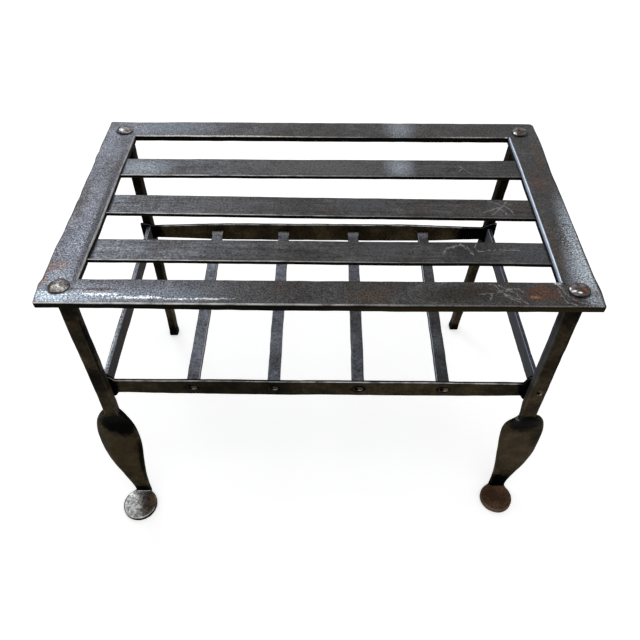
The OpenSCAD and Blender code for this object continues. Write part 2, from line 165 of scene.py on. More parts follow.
def spread(tree, share, low, high):
    """A share from 0 to 1, carried to the range from low to high."""
    return remap(tree, share, 0.0, 1.0, low, high)


def noise(tree, place, scale, detail, roughness=0.5):
    """The outputs of a Noise Texture."""
    return add(tree, "ShaderNodeTexNoise", {
        "Vector": place, "Scale": scale, "Detail": detail, "Roughness": roughness}).outputs


FLOAT, VECTOR, GEOMETRY = "NodeSocketFloat", "NodeSocketVector", "NodeSocketGeometry"
MATERIAL, INTEGER = "NodeSocketMaterial", "NodeSocketInt"


def new_group(kind, name, inputs, outputs):
    """A node group with named sockets; returns the tree and its two end nodes."""
    tree = bpy.data.node_groups.new(name, kind)
    for in_out, sockets in (("INPUT", inputs), ("OUTPUT", outputs)):
        for label, (socket_type, default) in sockets.items():
            socket = tree.interface.new_socket(label, in_out=in_out, socket_type=socket_type)
            if default is not None:
                socket.default_value = default
    return tree, tree.nodes.new("NodeGroupInput"), tree.nodes.new("NodeGroupOutput")

# %% [markdown]
# A modifier with a node group is run once and frozen into a plain mesh. That keeps the finished
# pieces simple: each one is a mesh at the origin with its place in its own points. Every piece ends in
# hand_over, further below, which hides the solids of the frame that the piece replaces.

# %% Run a modifier and keep its result
def settle(piece):
    """Freeze the piece's modifiers into its mesh."""
    graph = bpy.context.evaluated_depsgraph_get()
    mesh = bpy.data.meshes.new_from_object(piece.evaluated_get(graph), depsgraph=graph)
    piece.modifiers.clear()
    piece.data = mesh
    return piece


def forge(piece, tree, **values):
    """Run a geometry tree on the piece, with its inputs set by name, and keep the result."""
    modifier = piece.modifiers.new(tree.name, "NODES")
    modifier.node_group = tree
    for item in tree.interface.items_tree:
        if item.item_type == "SOCKET" and item.in_out == "INPUT" and item.name in values:
            modifier[item.identifier] = values[item.name]
    return settle(piece)


def new_piece(name, mesh=None):
    """An object at the origin, linked to the scene."""
    piece = bpy.data.objects.new(name, mesh or bpy.data.meshes.new(name))
    bpy.context.scene.collection.objects.link(piece)
    return piece


def mesh_from(name, points, faces):
    """A closed mesh from points and faces, its doubles merged and its faces turned outwards."""
    mesh = bpy.data.meshes.new(name)
    mesh.from_pydata([tuple(p) for p in points], [], faces)
    work = bmesh.new()
    work.from_mesh(mesh)
    bmesh.ops.remove_doubles(work, verts=work.verts, dist=0.00001)
    bmesh.ops.recalc_face_normals(work, faces=work.faces)
    work.to_mesh(mesh)
    work.free()
    return mesh

# %% [markdown]
# The hammer. A smith's blows leave two marks: the whole bar wanders a little from straight, and its
# faces are covered in shallow dents that run into each other. Smooth Voronoi cells look much like
# overlapping hammer dents, and a slow noise makes the wander. Both are read at each point's own place,
# so neighbouring bars never repeat each other. A tree's Facet is the size of its dents.

# %% Geometry Nodes: hammer work
BLOWS = {"Seed": (FLOAT, 0.0), "Wander": (FLOAT, 0.0004), "Reach": (FLOAT, 0.08), "Dent": (FLOAT, 0.0004),
         "Facet": (FLOAT, 0.014)}


def blows(tree, start, seed, wander, reach, dent, facet):
    """The geometry wandered a little from straight, and dented along its normals."""
    place = add(tree, "GeometryNodeInputPosition").outputs[0]
    normal = add(tree, "GeometryNodeInputNormal").outputs[0]
    slow = add(tree, "ShaderNodeTexNoise",
               {"Vector": place, "W": seed, "Scale": calc(tree, "DIVIDE", 1.0, reach), "Detail": 1.0},
               noise_dimensions="4D").outputs["Color"]
    drift = scaled(tree, vector(tree, "SUBTRACT", slow, (0.5, 0.5, 0.5)), times(tree, wander, 2.0))
    cells = add(tree, "ShaderNodeTexVoronoi",
                {"Vector": place, "W": seed, "Scale": calc(tree, "DIVIDE", 1.0, facet), "Smoothness": 0.6},
                voronoi_dimensions="4D", feature="SMOOTH_F1").outputs["Distance"]
    pushed = scaled(tree, normal, times(tree, calc(tree, "SUBTRACT", cells, 0.45), dent))
    return add(tree, "GeometryNodeSetPosition",
               {"Geometry": start, "Offset": vector(tree, "ADD", drift, pushed)}).outputs[0]


def forge_tree(name, inputs=None):
    """A geometry tree with inputs of its own and those that every forged piece has."""
    geometry = {"Geometry": (GEOMETRY, None)}
    return new_group("GeometryNodeTree", name,
                     {**geometry, **(inputs or {}), **BLOWS, "Material": (MATERIAL, None)}, geometry)


def finish_tree(tree, begin, end, shape):
    """Let the blows fall on the shape, then shade it smooth and give it its material."""
    worked = blows(tree, shape, *[begin.outputs[name] for name in BLOWS])
    smooth = add(tree, "GeometryNodeSetShadeSmooth", {"Geometry": worked}).outputs[0]
    painted = add(tree, "GeometryNodeSetMaterial", {
        "Geometry": smooth, "Material": begin.outputs["Material"]}).outputs[0]
    tree.links.new(painted, end.inputs[0])
    print(tree.name, len(tree.nodes), "nodes")


hammer_tree, begin, end = forge_tree("Hammer work")
finish_tree(hammer_tree, begin, end, begin.outputs["Geometry"])

# %% [markdown]
# Slats, crossbars and side strips are all straight flat bar, so one tree makes them. It starts from a
# box with a fine grid on its faces. Each point is then pulled onto a rounded box: the point is held
# inside a smaller box, and set off from there by the edge radius. That rounds every edge at once.

# %% Geometry Nodes: forged bar
bar_tree, begin, end = forge_tree("Forged bar", {
    "Size": (VECTOR, (0.1, 0.02, 0.005)), "Edge": (FLOAT, 0.001), "Cell": (FLOAT, 0.0015),
    "Place": (VECTOR, None), "Turn": (VECTOR, None)})


def all_three(tree, number):
    """A vector with the number as its X, Y and Z."""
    return add(tree, "ShaderNodeCombineXYZ", {axis: number for axis in "XYZ"}).outputs[0]


size = begin.outputs["Size"]
counts = vector(bar_tree, "DIVIDE", size, all_three(bar_tree, begin.outputs["Cell"]))
counts = parts(bar_tree, vector(bar_tree, "ADD", vector(bar_tree, "CEIL", counts), (1.0, 1.0, 1.0)))
box = add(bar_tree, "GeometryNodeMeshCube", {
    "Size": size, **{"Vertices " + axis: counts[axis] for axis in "XYZ"}}).outputs["Mesh"]
place = add(bar_tree, "GeometryNodeInputPosition").outputs[0]
radius = all_three(bar_tree, begin.outputs["Edge"])
core = vector(bar_tree, "SUBTRACT", vector(bar_tree, "MULTIPLY", size, (0.5, 0.5, 0.5)), radius)
minus_core = vector(bar_tree, "MULTIPLY", core, (-1.0, -1.0, -1.0))
held = vector(bar_tree, "MINIMUM", vector(bar_tree, "MAXIMUM", place, minus_core), core)
away = vector(bar_tree, "NORMALIZE", vector(bar_tree, "SUBTRACT", place, held))
rounded = vector(bar_tree, "ADD", held, vector(bar_tree, "MULTIPLY", away, radius))
bar = add(bar_tree, "GeometryNodeSetPosition", {"Geometry": box, "Position": rounded}).outputs[0]
bar = add(bar_tree, "GeometryNodeTransform", {
    "Geometry": bar, "Translation": begin.outputs["Place"], "Rotation": begin.outputs["Turn"]}).outputs[0]
finish_tree(bar_tree, begin, end, bar)

# %% [markdown]
# Every rivet head and every hammered-over tenon end is the same idea: a lump of metal that spread
# under the hammer. One tree puts a lump on each point it is given. The lump is a sphere, squared off
# by a power of its coordinates, flattened to a dome and turned to face the way that its point says.
# The copies are realised before the blows fall, so they all come out different.

# %% Geometry Nodes: hammered heads
head_tree, begin, end = forge_tree("Hammered heads", {
    "Half": (VECTOR, (0.009, 0.009, 0.0033)), "Squareness": (FLOAT, 1.0), "Segments": (INTEGER, 48)})
segments = begin.outputs["Segments"]
ball = add(head_tree, "GeometryNodeMeshUVSphere", {
    "Segments": segments, "Rings": segments, "Radius": 1.0}).outputs["Mesh"]
axes = parts(head_tree, add(head_tree, "GeometryNodeInputPosition").outputs[0])
dome = {"Z": calc(head_tree, "MAXIMUM", axes["Z"], 0.0)}
for axis in "XY":
    power = calc(head_tree, "POWER", calc(head_tree, "ABSOLUTE", axes[axis]), begin.outputs["Squareness"])
    dome[axis] = times(head_tree, calc(head_tree, "SIGN", axes[axis]), power)
dome = add(head_tree, "ShaderNodeCombineXYZ", dome).outputs[0]
dome = vector(head_tree, "MULTIPLY", dome, begin.outputs["Half"])
lump = add(head_tree, "GeometryNodeSetPosition", {"Geometry": ball, "Position": dome}).outputs[0]
facing, stretch = (
    add(head_tree, "GeometryNodeInputNamedAttribute", {"Name": name}, data_type="FLOAT_VECTOR").outputs[0]
    for name in ("facing", "stretch"))
copies = add(head_tree, "GeometryNodeInstanceOnPoints", {
    "Points": begin.outputs["Geometry"], "Instance": lump, "Rotation": facing, "Scale": stretch}).outputs[0]
copies = add(head_tree, "GeometryNodeRealizeInstances", {"Geometry": copies}).outputs[0]
finish_tree(head_tree, begin, end, copies)

# %% [markdown]
# Wear shows on crests, and the hollows are painted darker. How much a surface bulges is measured once
# on each finished mesh: a point whose neighbours lie behind its tangent plane stands on a crest. The
# measure goes into two attributes that the materials read, so no shader has to guess where the edges are.
# A third one, lie, keeps which way each point faces, from before the ring of the top is cut into bars.

# %% Crests and hollows
CREST_CURVE = 420.0  # curvature, one over metres, at which an edge counts as fully bare


def points_of(mesh, name="co"):
    """The places of a mesh's points, or another vector of each, as rows of three numbers."""
    values = np.zeros(len(mesh.vertices) * 3)
    mesh.vertices.foreach_get(name, values)
    return values.reshape(-1, 3)


def store_relief(piece):
    """Write how convex and how hollow each point is, and which way it faces, into attributes."""
    mesh = piece.data
    place = points_of(mesh)
    normal = points_of(mesh, "normal")
    ends = np.zeros(len(mesh.edges) * 2, int)
    mesh.edges.foreach_get("vertices", ends)
    a, b = ends.reshape(-1, 2).T
    step = place[b] - place[a]
    reach = np.maximum((step ** 2).sum(1), 1e-12)
    bend = np.zeros(len(place))
    share = np.zeros(len(place))
    np.add.at(bend, a, -2 * (step * normal[a]).sum(1) / reach)
    np.add.at(bend, b, 2 * (step * normal[b]).sum(1) / reach)
    np.add.at(share, a, 1)
    np.add.at(share, b, 1)
    bend = bend / np.maximum(share, 1) / CREST_CURVE
    total = bend.copy()
    np.add.at(total, a, bend[b])
    np.add.at(total, b, bend[a])
    bend = total / (share + 1)
    for name, values in (("crest", bend.clip(0, 1)), ("hollow", (-bend).clip(0, 1))):
        layer = mesh.attributes.new(name, "FLOAT", "POINT")
        layer.data.foreach_set("value", values.astype(np.float32))
    lie = mesh.attributes.new("lie", "FLOAT_VECTOR", "POINT")
    lie.data.foreach_set("vector", normal.astype(np.float32).ravel())


def keep_inside(piece):
    """Hold the points inside the box of the solid model, feet flat on the floor."""
    place = points_of(piece.data).clip(np.array(cad_box[0]), np.array(cad_box[1]))
    piece.data.vertices.foreach_set("co", place.ravel())
    piece.data.update()


def hand_over(piece, slot, *nodes):
    """The last step for every piece: hold it inside the solid's box, measure it, bind it to the body and
    hide the solids it replaces.
    """
    keep_inside(piece)
    if "crest" not in piece.data.attributes:
        store_relief(piece)
    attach(piece, "root")
    if nodes:
        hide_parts(*nodes)
    print(piece.name, len(piece.data.polygons), "faces")

# %% [markdown]
# Now the surfaces. Old wrought iron is never one colour. Under everything is the black skin that the
# fire left. Rubbing bares a blue-grey metal on flat tops and edges, fine pits stay dark in it, and rust
# stains it brown. Each shader group gives one of these effects as a mask, and each material blends them
# in its own amounts. Some masks paint light and shade too. The group for arrises tells flats from edges
# by which way the surface faces: edges towards the front and the middle of the stand are painted bright,
# partly as wear and partly as painted highlight, and steep sides and edges that face the back or outwards
# are painted dark, partly as fire skin and partly as painted shade. The inner bevels carry two tones, so a
# mask of its own picks out the line along their upper part; on the right both are a painted reflection.

# %% Shader groups
SCRATCH_WIDTH = 0.8 * MM


def object_place(tree):
    """The point's own place in metres, the same in every material."""
    return add(tree, "ShaderNodeTexCoord").outputs["Object"]


def measured(tree, name, output="Fac"):
    """An attribute that was measured on the mesh."""
    return add(tree, "ShaderNodeAttribute", attribute_name=name).outputs[output]


def mask_group(name, inputs, *masks):
    """A shader group with named inputs, which puts out only masks."""
    return new_group("ShaderNodeTree", name, inputs, {mask: (FLOAT, None) for mask in masks})


def give_out(tree, end, masks):
    """Wire the masks of a group to its outputs, and return the group."""
    for name, mask in masks.items():
        tree.links.new(mask, end.inputs[name])
    return tree


tree, begin, end = mask_group(
    "Iron grain",
    {"Fineness": (FLOAT, 900.0), "Mottle": (FLOAT, 60.0), "Stretch": (VECTOR, (1.0, 1.0, 1.0))},
    "Speckle", "Mottling", "Pits")
spot = vector(tree, "MULTIPLY", object_place(tree), begin.outputs["Stretch"])
fineness = begin.outputs["Fineness"]
fine = noise(tree, spot, fineness, 3.0, 0.65)["Fac"]
broad = noise(tree, spot, begin.outputs["Mottle"], 4.0, 0.6)["Fac"]
pock = add(tree, "ShaderNodeTexVoronoi", {"Vector": spot, "Scale": times(tree, fineness, 0.4)}).outputs[0]
grain_group = give_out(tree, end, {
    "Speckle": remap(tree, fine, 0.37, 0.63), "Mottling": remap(tree, broad, 0.35, 0.65),
    "Pits": remap(tree, pock, 0.05, 0.3, 1.0, 0.0)})

tree, begin, end = mask_group("Edge wear and hollows", {}, "Crest", "Rubbed", "Hollow Dark")
breakup = noise(tree, object_place(tree), 90.0, 3.0)["Fac"]
wear_group = give_out(tree, end, {
    "Crest": remap(tree, measured(tree, "crest"), 0.15, 0.75),
    "Rubbed": remap(tree, breakup, 0.3, 0.6, 0.3, 1.0),
    "Hollow Dark": remap(tree, measured(tree, "hollow"), 0.05, 0.6)})

tree, begin, end = mask_group(
    "Patch spot", {"Centre": (VECTOR, None), "Half": (VECTOR, (0.01, 0.01, 0.01)), "Ragged": (FLOAT, 0.5),
                   "Core": (FLOAT, 0.45), "Flakes": (FLOAT, 160.0)}, "Mask")
offset = vector(tree, "SUBTRACT", object_place(tree), begin.outputs["Centre"])
offset = vector(tree, "DIVIDE", offset, begin.outputs["Half"])
flakes = noise(tree, object_place(tree), begin.outputs["Flakes"], 4.0, 0.7)["Fac"]
flakes = times(tree, calc(tree, "SUBTRACT", flakes, 0.5), times(tree, begin.outputs["Ragged"], 4.0))
reach = calc(tree, "ADD", vector(tree, "LENGTH", offset), flakes)
spot_group = give_out(tree, end, {
    "Mask": remap(tree, reach, begin.outputs["Core"], 1.1, 1.0, 0.0, smooth=True)})

tree, begin, end = mask_group(
    "Flat and arris", {}, "Skin", "Front Arris", "Inner Arris", "Inner Line")
facing = parts(tree, vector(tree, "NORMALIZE", measured(tree, "lie", "Vector")))
inward = times(tree, parts(tree, object_place(tree))["X"], facing["X"])
rising = remap(tree, facing["Z"], 0.2, 0.55)
steep = remap(tree, facing["Z"], 0.35, 0.75, 1.0, 0.0, smooth=True)
far_side = calc(tree, "MAXIMUM", remap(tree, facing["Y"], 0.18, 0.42), remap(tree, inward, 0.035, 0.085))
sloping = times(tree, remap(tree, facing["Z"], 0.985, 0.92), rising)
middleward = times(tree, remap(tree, inward, -0.018, -0.042), rising)
upper_part = times(tree, remap(tree, facing["Z"], 0.88, 0.935), remap(tree, facing["Z"], 0.993, 0.978))
edge_group = give_out(tree, end, {
    "Skin": calc(tree, "MAXIMUM", steep, far_side),
    "Front Arris": times(tree, sloping, remap(tree, facing["Y"], -0.12, -0.4)),
    "Inner Arris": middleward, "Inner Line": times(tree, middleward, upper_part)})

tree, begin, end = mask_group(
    "Scratch line", {"Start": (VECTOR, None), "End": (VECTOR, None)}, "Mask")
shake = noise(tree, object_place(tree), 280.0, 1.0)
sway = vector(tree, "SUBTRACT", shake["Color"], (0.5, 0.5, 0.5))
sway = vector(tree, "MULTIPLY", sway, (4 * MM, 4 * MM, 0.0))
shaken = vector(tree, "ADD", object_place(tree), sway)
from_start = vector(tree, "SUBTRACT", shaken, begin.outputs["Start"])
from_start = vector(tree, "MULTIPLY", from_start, (1.0, 1.0, 0.0))
course = vector(tree, "SUBTRACT", begin.outputs["End"], begin.outputs["Start"])
share = calc(tree, "DIVIDE", vector(tree, "DOT_PRODUCT", from_start, course),
             vector(tree, "DOT_PRODUCT", course, course), clamp=True)
miss = vector(tree, "LENGTH", vector(tree, "SUBTRACT", from_start, scaled(tree, course, share)))
line = remap(tree, miss, 0.3 * SCRATCH_WIDTH, SCRATCH_WIDTH, 1.0, 0.0)
line_group = give_out(tree, end, {
    "Mask": times(tree, line, remap(tree, shake["Fac"], 0.35, 0.5, 0.35, 1.0))})
print("shader groups:", [g.name for g in bpy.data.node_groups if g.bl_idname == "ShaderNodeTree"])

# %% [markdown]
# A material is painted like a real surface, one coat over another. The function coat lays a colour over
# what is there already, through a mask. There are two recipes: worn iron for what is rubbed, and fire
# iron for what still has its black skin. Both end in the same Principled shader.

# %% Helpers for materials
def group(tree, group_tree, **values):
    """The outputs of a group that is placed in a material."""
    return add(tree, "ShaderNodeGroup", values, node_tree=group_tree).outputs


def coat(tree, under, over, mask):
    """One colour laid over another through a mask."""
    node = add(tree, "ShaderNodeMix", data_type="RGBA")
    sockets = {socket.identifier: socket for socket in node.inputs}
    for name, value in (("Factor_Float", mask), ("A_Color", under), ("B_Color", over)):
        feed(tree, sockets[name], (*value, 1.0) if isinstance(value, tuple) else value)
    return next(s for s in node.outputs if s.identifier == "Result_Color")


# The same mask shapes stains, wear and the patches of painted light and shade.
def patch_mask(tree, centre, half_size, ragged=0.5, core=0.45, flakes=160.0):
    """Mask of a ragged spot at a place on the object, in millimetres."""
    return group(tree, spot_group, Centre=[v * MM for v in centre], Half=[v * MM for v in half_size],
                 Ragged=ragged, Core=core, Flakes=flakes)["Mask"]


def mottled(tree, colour, share, low, high):
    """The colour made darker and lighter, between two factors."""
    return scaled(tree, colour, spread(tree, share, low, high))


def rest_of(tree, share):
    """What is left of a whole."""
    return calc(tree, "SUBTRACT", 1.0, share)


def blend(tree, low, high, share):
    """A number between two others."""
    return calc(tree, "ADD", times(tree, low, rest_of(tree, share)), times(tree, high, share))


def along_x(tree, start, stop):
    """1 at the start and 0 at the stop, both places in metres across the width of the stand."""
    return remap(tree, parts(tree, object_place(tree))["X"], start, stop, 1.0, 0.0)


def iron_shader(tree, colour, roughness, height, depth):
    """The Principled shader of an iron surface, with its fine relief."""
    bump = add(tree, "ShaderNodeBump", {"Height": height, "Strength": 1.0, "Distance": depth}).outputs[0]
    shader = add(tree, "ShaderNodeBsdfPrincipled", {
        "Base Color": colour, "Roughness": roughness, "Metallic": 1.0, "Normal": bump})
    add(tree, "ShaderNodeOutputMaterial", {"Surface": shader.outputs[0]})


def new_material(name):
    """An empty node material."""
    material = bpy.data.materials.new(name)
    material.use_nodes = True
    material.node_tree.nodes.clear()
    return material, material.node_tree

# %% [markdown]
# Each patch of the surface is one row in a list: its tint, its middle and its half size in millimetres,
# and how strongly it shows. Up to three more numbers shape it: how ragged it is, how much of it is a
# solid core, and how many flakes there are to a metre. SMOOTH patches melt into what is around them, and
# FLAKY ones break up. Later rows lie over earlier ones. Most rows are wear, rust and soot, and some paint
# light and shade: the glow and sheen rows are painted sheen of the window on the top, and many soot rows
# are painted shade and shadow.

# %% Tints
# The black skin tint is the fire skin, and also painted shade on steep sides and edges. The soot tint is
# soot, and in most of its rows painted shade and shadow: in hollows, at ankles, under and beside parts, and
# around the rivet heads and peened ends.
BLACK_SKIN_AND_SHADE = (0.0075, 0.0068, 0.0050)
SOOT_AND_SHADE = (0.0010, 0.0009, 0.0007)
RUST = (0.085, 0.038, 0.024)
PALE_RUST = (0.17, 0.10, 0.080)
ORANGE = (0.24, 0.115, 0.045)
BROWN = (0.060, 0.044, 0.034)
PLUM = (0.085, 0.066, 0.070)
# The bare and silver tints are bare metal, and also painted highlights on arrises and rivet heads. The bevel
# and blue tints are a painted bluish reflection of the window on the inner bevels on the right, and the
# sheen and glow tints are painted sheen of the window on the tops.
BARE_AND_HIGHLIGHT = (0.62, 0.61, 0.58)
BEVEL_REFLECTION = (0.185, 0.215, 0.28)
BLUE_REFLECTION = (0.66, 0.72, 0.82)
SILVER_AND_HIGHLIGHT = (0.62, 0.64, 0.66)
PAINTED_SHEEN = (0.17, 0.19, 0.23)
PAINTED_GLOW = (0.25, 0.28, 0.32)
SCRATCH = (0.26, 0.265, 0.275)
SMOOTH = (0.12, 0.0)
FLAKY = (1.5, 0.95, 420.0)
SHINY_TINT, SOOT_AND_SHADE_TINT = 0.15, 0.01  # a tint above the first shines, and one below the second counts as soot and painted shade
WORN_ROUGH, MATT = (0.50, 0.34), 0.92


def patches(tree, colour, shine, spots):
    """Patches of tint laid over the colour; bright ones add to the shine."""
    for tint, centre, half_size, strength, *shape in spots:
        mask = times(tree, patch_mask(tree, centre, half_size, *shape), strength)
        colour = coat(tree, colour, tint, mask)
        if max(tint) > SHINY_TINT:
            shine = calc(tree, "MAXIMUM", shine, mask)
    return colour, shine


def scratched(tree, colour, courses):
    """Scratches along chosen courses, each a list of places in millimetres."""
    marks = 0.0
    for course in courses:
        for (x0, y0), (x1, y1) in zip(course, course[1:]):
            line = group(tree, line_group, Start=(x0 * MM, y0 * MM, 0.0), End=(x1 * MM, y1 * MM, 0.0))
            marks = calc(tree, "MAXIMUM", marks, line["Mask"])
    return coat(tree, colour, SCRATCH, times(tree, marks, 0.5)) if courses else colour


def bare_arrises(tree, colour, bare, side, rubbed, edges, arris):
    """Bare metal and painted highlights on the arrises, with a painted bluish reflection of the window on
    the inner bevels to the right, and how much of the surface it takes.

    The four shares of arris are for the front arrises and then the inner ones, each left and right.
    """
    # Partly painted highlight: the front arrises are painted brightest on the left, where the window's light
    # falls.
    front = spread(tree, along_x(tree, -0.13, 0.09), arris[1], arris[0])
    front = times(tree, edges["Front Arris"], front, rubbed)
    colour = coat(tree, colour, bare, front)
    inner = times(tree, edges["Inner Arris"], spread(tree, side, arris[3], arris[2]),
                  calc(tree, "POWER", rubbed, blend(tree, 0.25, 1.0, side)))
    # Painted reflection: the inner bevels on the right take a bluish reflection of the window, with a paler
    # line along their upper part.
    colour = coat(tree, colour, coat(tree, BEVEL_REFLECTION, bare, side), inner)
    colour = coat(tree, colour, BLUE_REFLECTION, times(tree, edges["Inner Line"], inner, rest_of(tree, side)))
    return colour, calc(tree, "MAXIMUM", front, inner)


def worn_iron(name, left, right, span=(-0.215, -0.03), fineness=520.0, stretch=None, spots=(), courses=(),
              arris=(0.85, 0.12, 0.5, 0.95), skin=BLACK_SKIN_AND_SHADE, contrast=1.0, pitted=0.6, bare=BARE_AND_HIGHLIGHT, late=()):
    """Rubbed iron, from a lit left tint to a shaded right tint as painted light, with grain, bare arrises
    with painted highlights, and a skin on its sides that is partly painted shade.

    The spots lie under the skin of the sides, and the late ones over it.
    """
    material, tree = new_material(name)
    grain, clouds, flecks = (group(tree, grain_group, Fineness=fineness, Mottle=size)
                             for size in (60.0, 24.0, 190.0))
    wear = group(tree, wear_group)
    edges = group(tree, edge_group)
    # Painted light: the colour runs from the left tint, lit by the window, to the darker right tint.
    side = along_x(tree, *span)
    colour = coat(tree, right, left, side)
    for marks, low, high in ((grain, 0.82, 1.18), (clouds, 0.82, 1.16), (flecks, 0.78, 1.27)):
        colour = mottled(tree, colour, marks["Mottling"], low, high)
    colour = coat(tree, colour, BROWN, remap(tree, clouds["Mottling"], 0.55, 0.1, 0.0, 0.3))
    if stretch:
        brushed = group(tree, grain_group, Fineness=fineness * 0.8, Stretch=stretch)
        colour = mottled(tree, colour, brushed["Speckle"], 0.72, 1.3)
    colour, shine = patches(tree, colour, times(tree, side, 0.75), spots)
    colour = scratched(tree, colour, courses)
    # Painted glints: the grain is sharper on the lit left and in the bright patches.
    calm = spread(tree, grain["Speckle"], 1.0 - 0.5 * contrast, 1.0 + 0.65 * contrast)
    sharp = spread(tree, grain["Speckle"], 1.0 - 0.65 * contrast, 1.0 + 0.9 * contrast)
    colour = scaled(tree, colour, blend(tree, calm, sharp, shine))
    colour = coat(tree, colour, BLACK_SKIN_AND_SHADE, times(tree, grain["Pits"], pitted))
    colour = coat(tree, colour, BLACK_SKIN_AND_SHADE, times(tree, wear["Hollow Dark"], 0.6))
    # Painted shade: steep sides and edges that face back or outwards take the skin colour, partly fire skin
    # and partly shade.
    colour = coat(tree, colour, skin, edges["Skin"])
    colour = patches(tree, colour, shine, late)[0]
    colour, rubbed = bare_arrises(tree, colour, bare, side, wear["Rubbed"], edges, arris)
    roughness = blend(tree, spread(tree, grain["Speckle"], *WORN_ROUGH), MATT,
                      times(tree, edges["Skin"], rest_of(tree, rubbed)))
    height = calc(tree, "SUBTRACT", grain["Speckle"], times(tree, grain["Pits"], 0.8))
    iron_shader(tree, colour, roughness, height, 0.12 * MM)
    return material


def fire_iron(name, light, dark, spots=(), bare=0.5, rough=0.8, rim=(0.12, 0.115, 0.10), fineness=420.0,
              upright=False):
    """Legs and strips: an old brown-black fire skin with little bare metal, soot and painted shade, and a
    rim that is partly painted highlight.
    """
    material, tree = new_material(name)
    grain = group(tree, grain_group, Fineness=fineness, Mottle=45.0)
    wear = group(tree, wear_group)
    colour = mottled(tree, coat(tree, dark, light, grain["Mottling"]), grain["Speckle"], 0.66, 1.34)
    soot_and_shade = times(tree, wear["Hollow Dark"], 0.8)
    for tint, centre, half_size, strength in spots:
        mask = times(tree, patch_mask(tree, centre, half_size, 0.25, 0.6), strength)
        colour = coat(tree, colour, tint, mask)
        if max(tint) < SOOT_AND_SHADE_TINT:
            soot_and_shade = calc(tree, "MAXIMUM", soot_and_shade, mask)
    colour = coat(tree, mottled(tree, colour, grain["Mottling"], 0.78, 1.2), SOOT_AND_SHADE, soot_and_shade)
    worn = group(tree, edge_group)["Front Arris"] if upright else wear["Crest"]
    rubbed = times(tree, worn, wear["Rubbed"], blend(tree, bare, bare * 0.2, soot_and_shade))
    colour = coat(tree, colour, rim, rubbed)
    roughness = blend(tree, blend(tree, rough, 0.97, soot_and_shade), 0.5, rubbed)
    height = calc(tree, "ADD", grain["Speckle"], grain["Mottling"])
    iron_shader(tree, colour, roughness, height, 0.08 * MM)
    return material


def on_face(z, *rows):
    """Patches on a level face at height z. A half size without a third number reaches 5 mm down."""
    return [(tint, (*place, z), (*half, 5)[:3], strength, *shape)
            for tint, place, half, strength, *shape in rows]

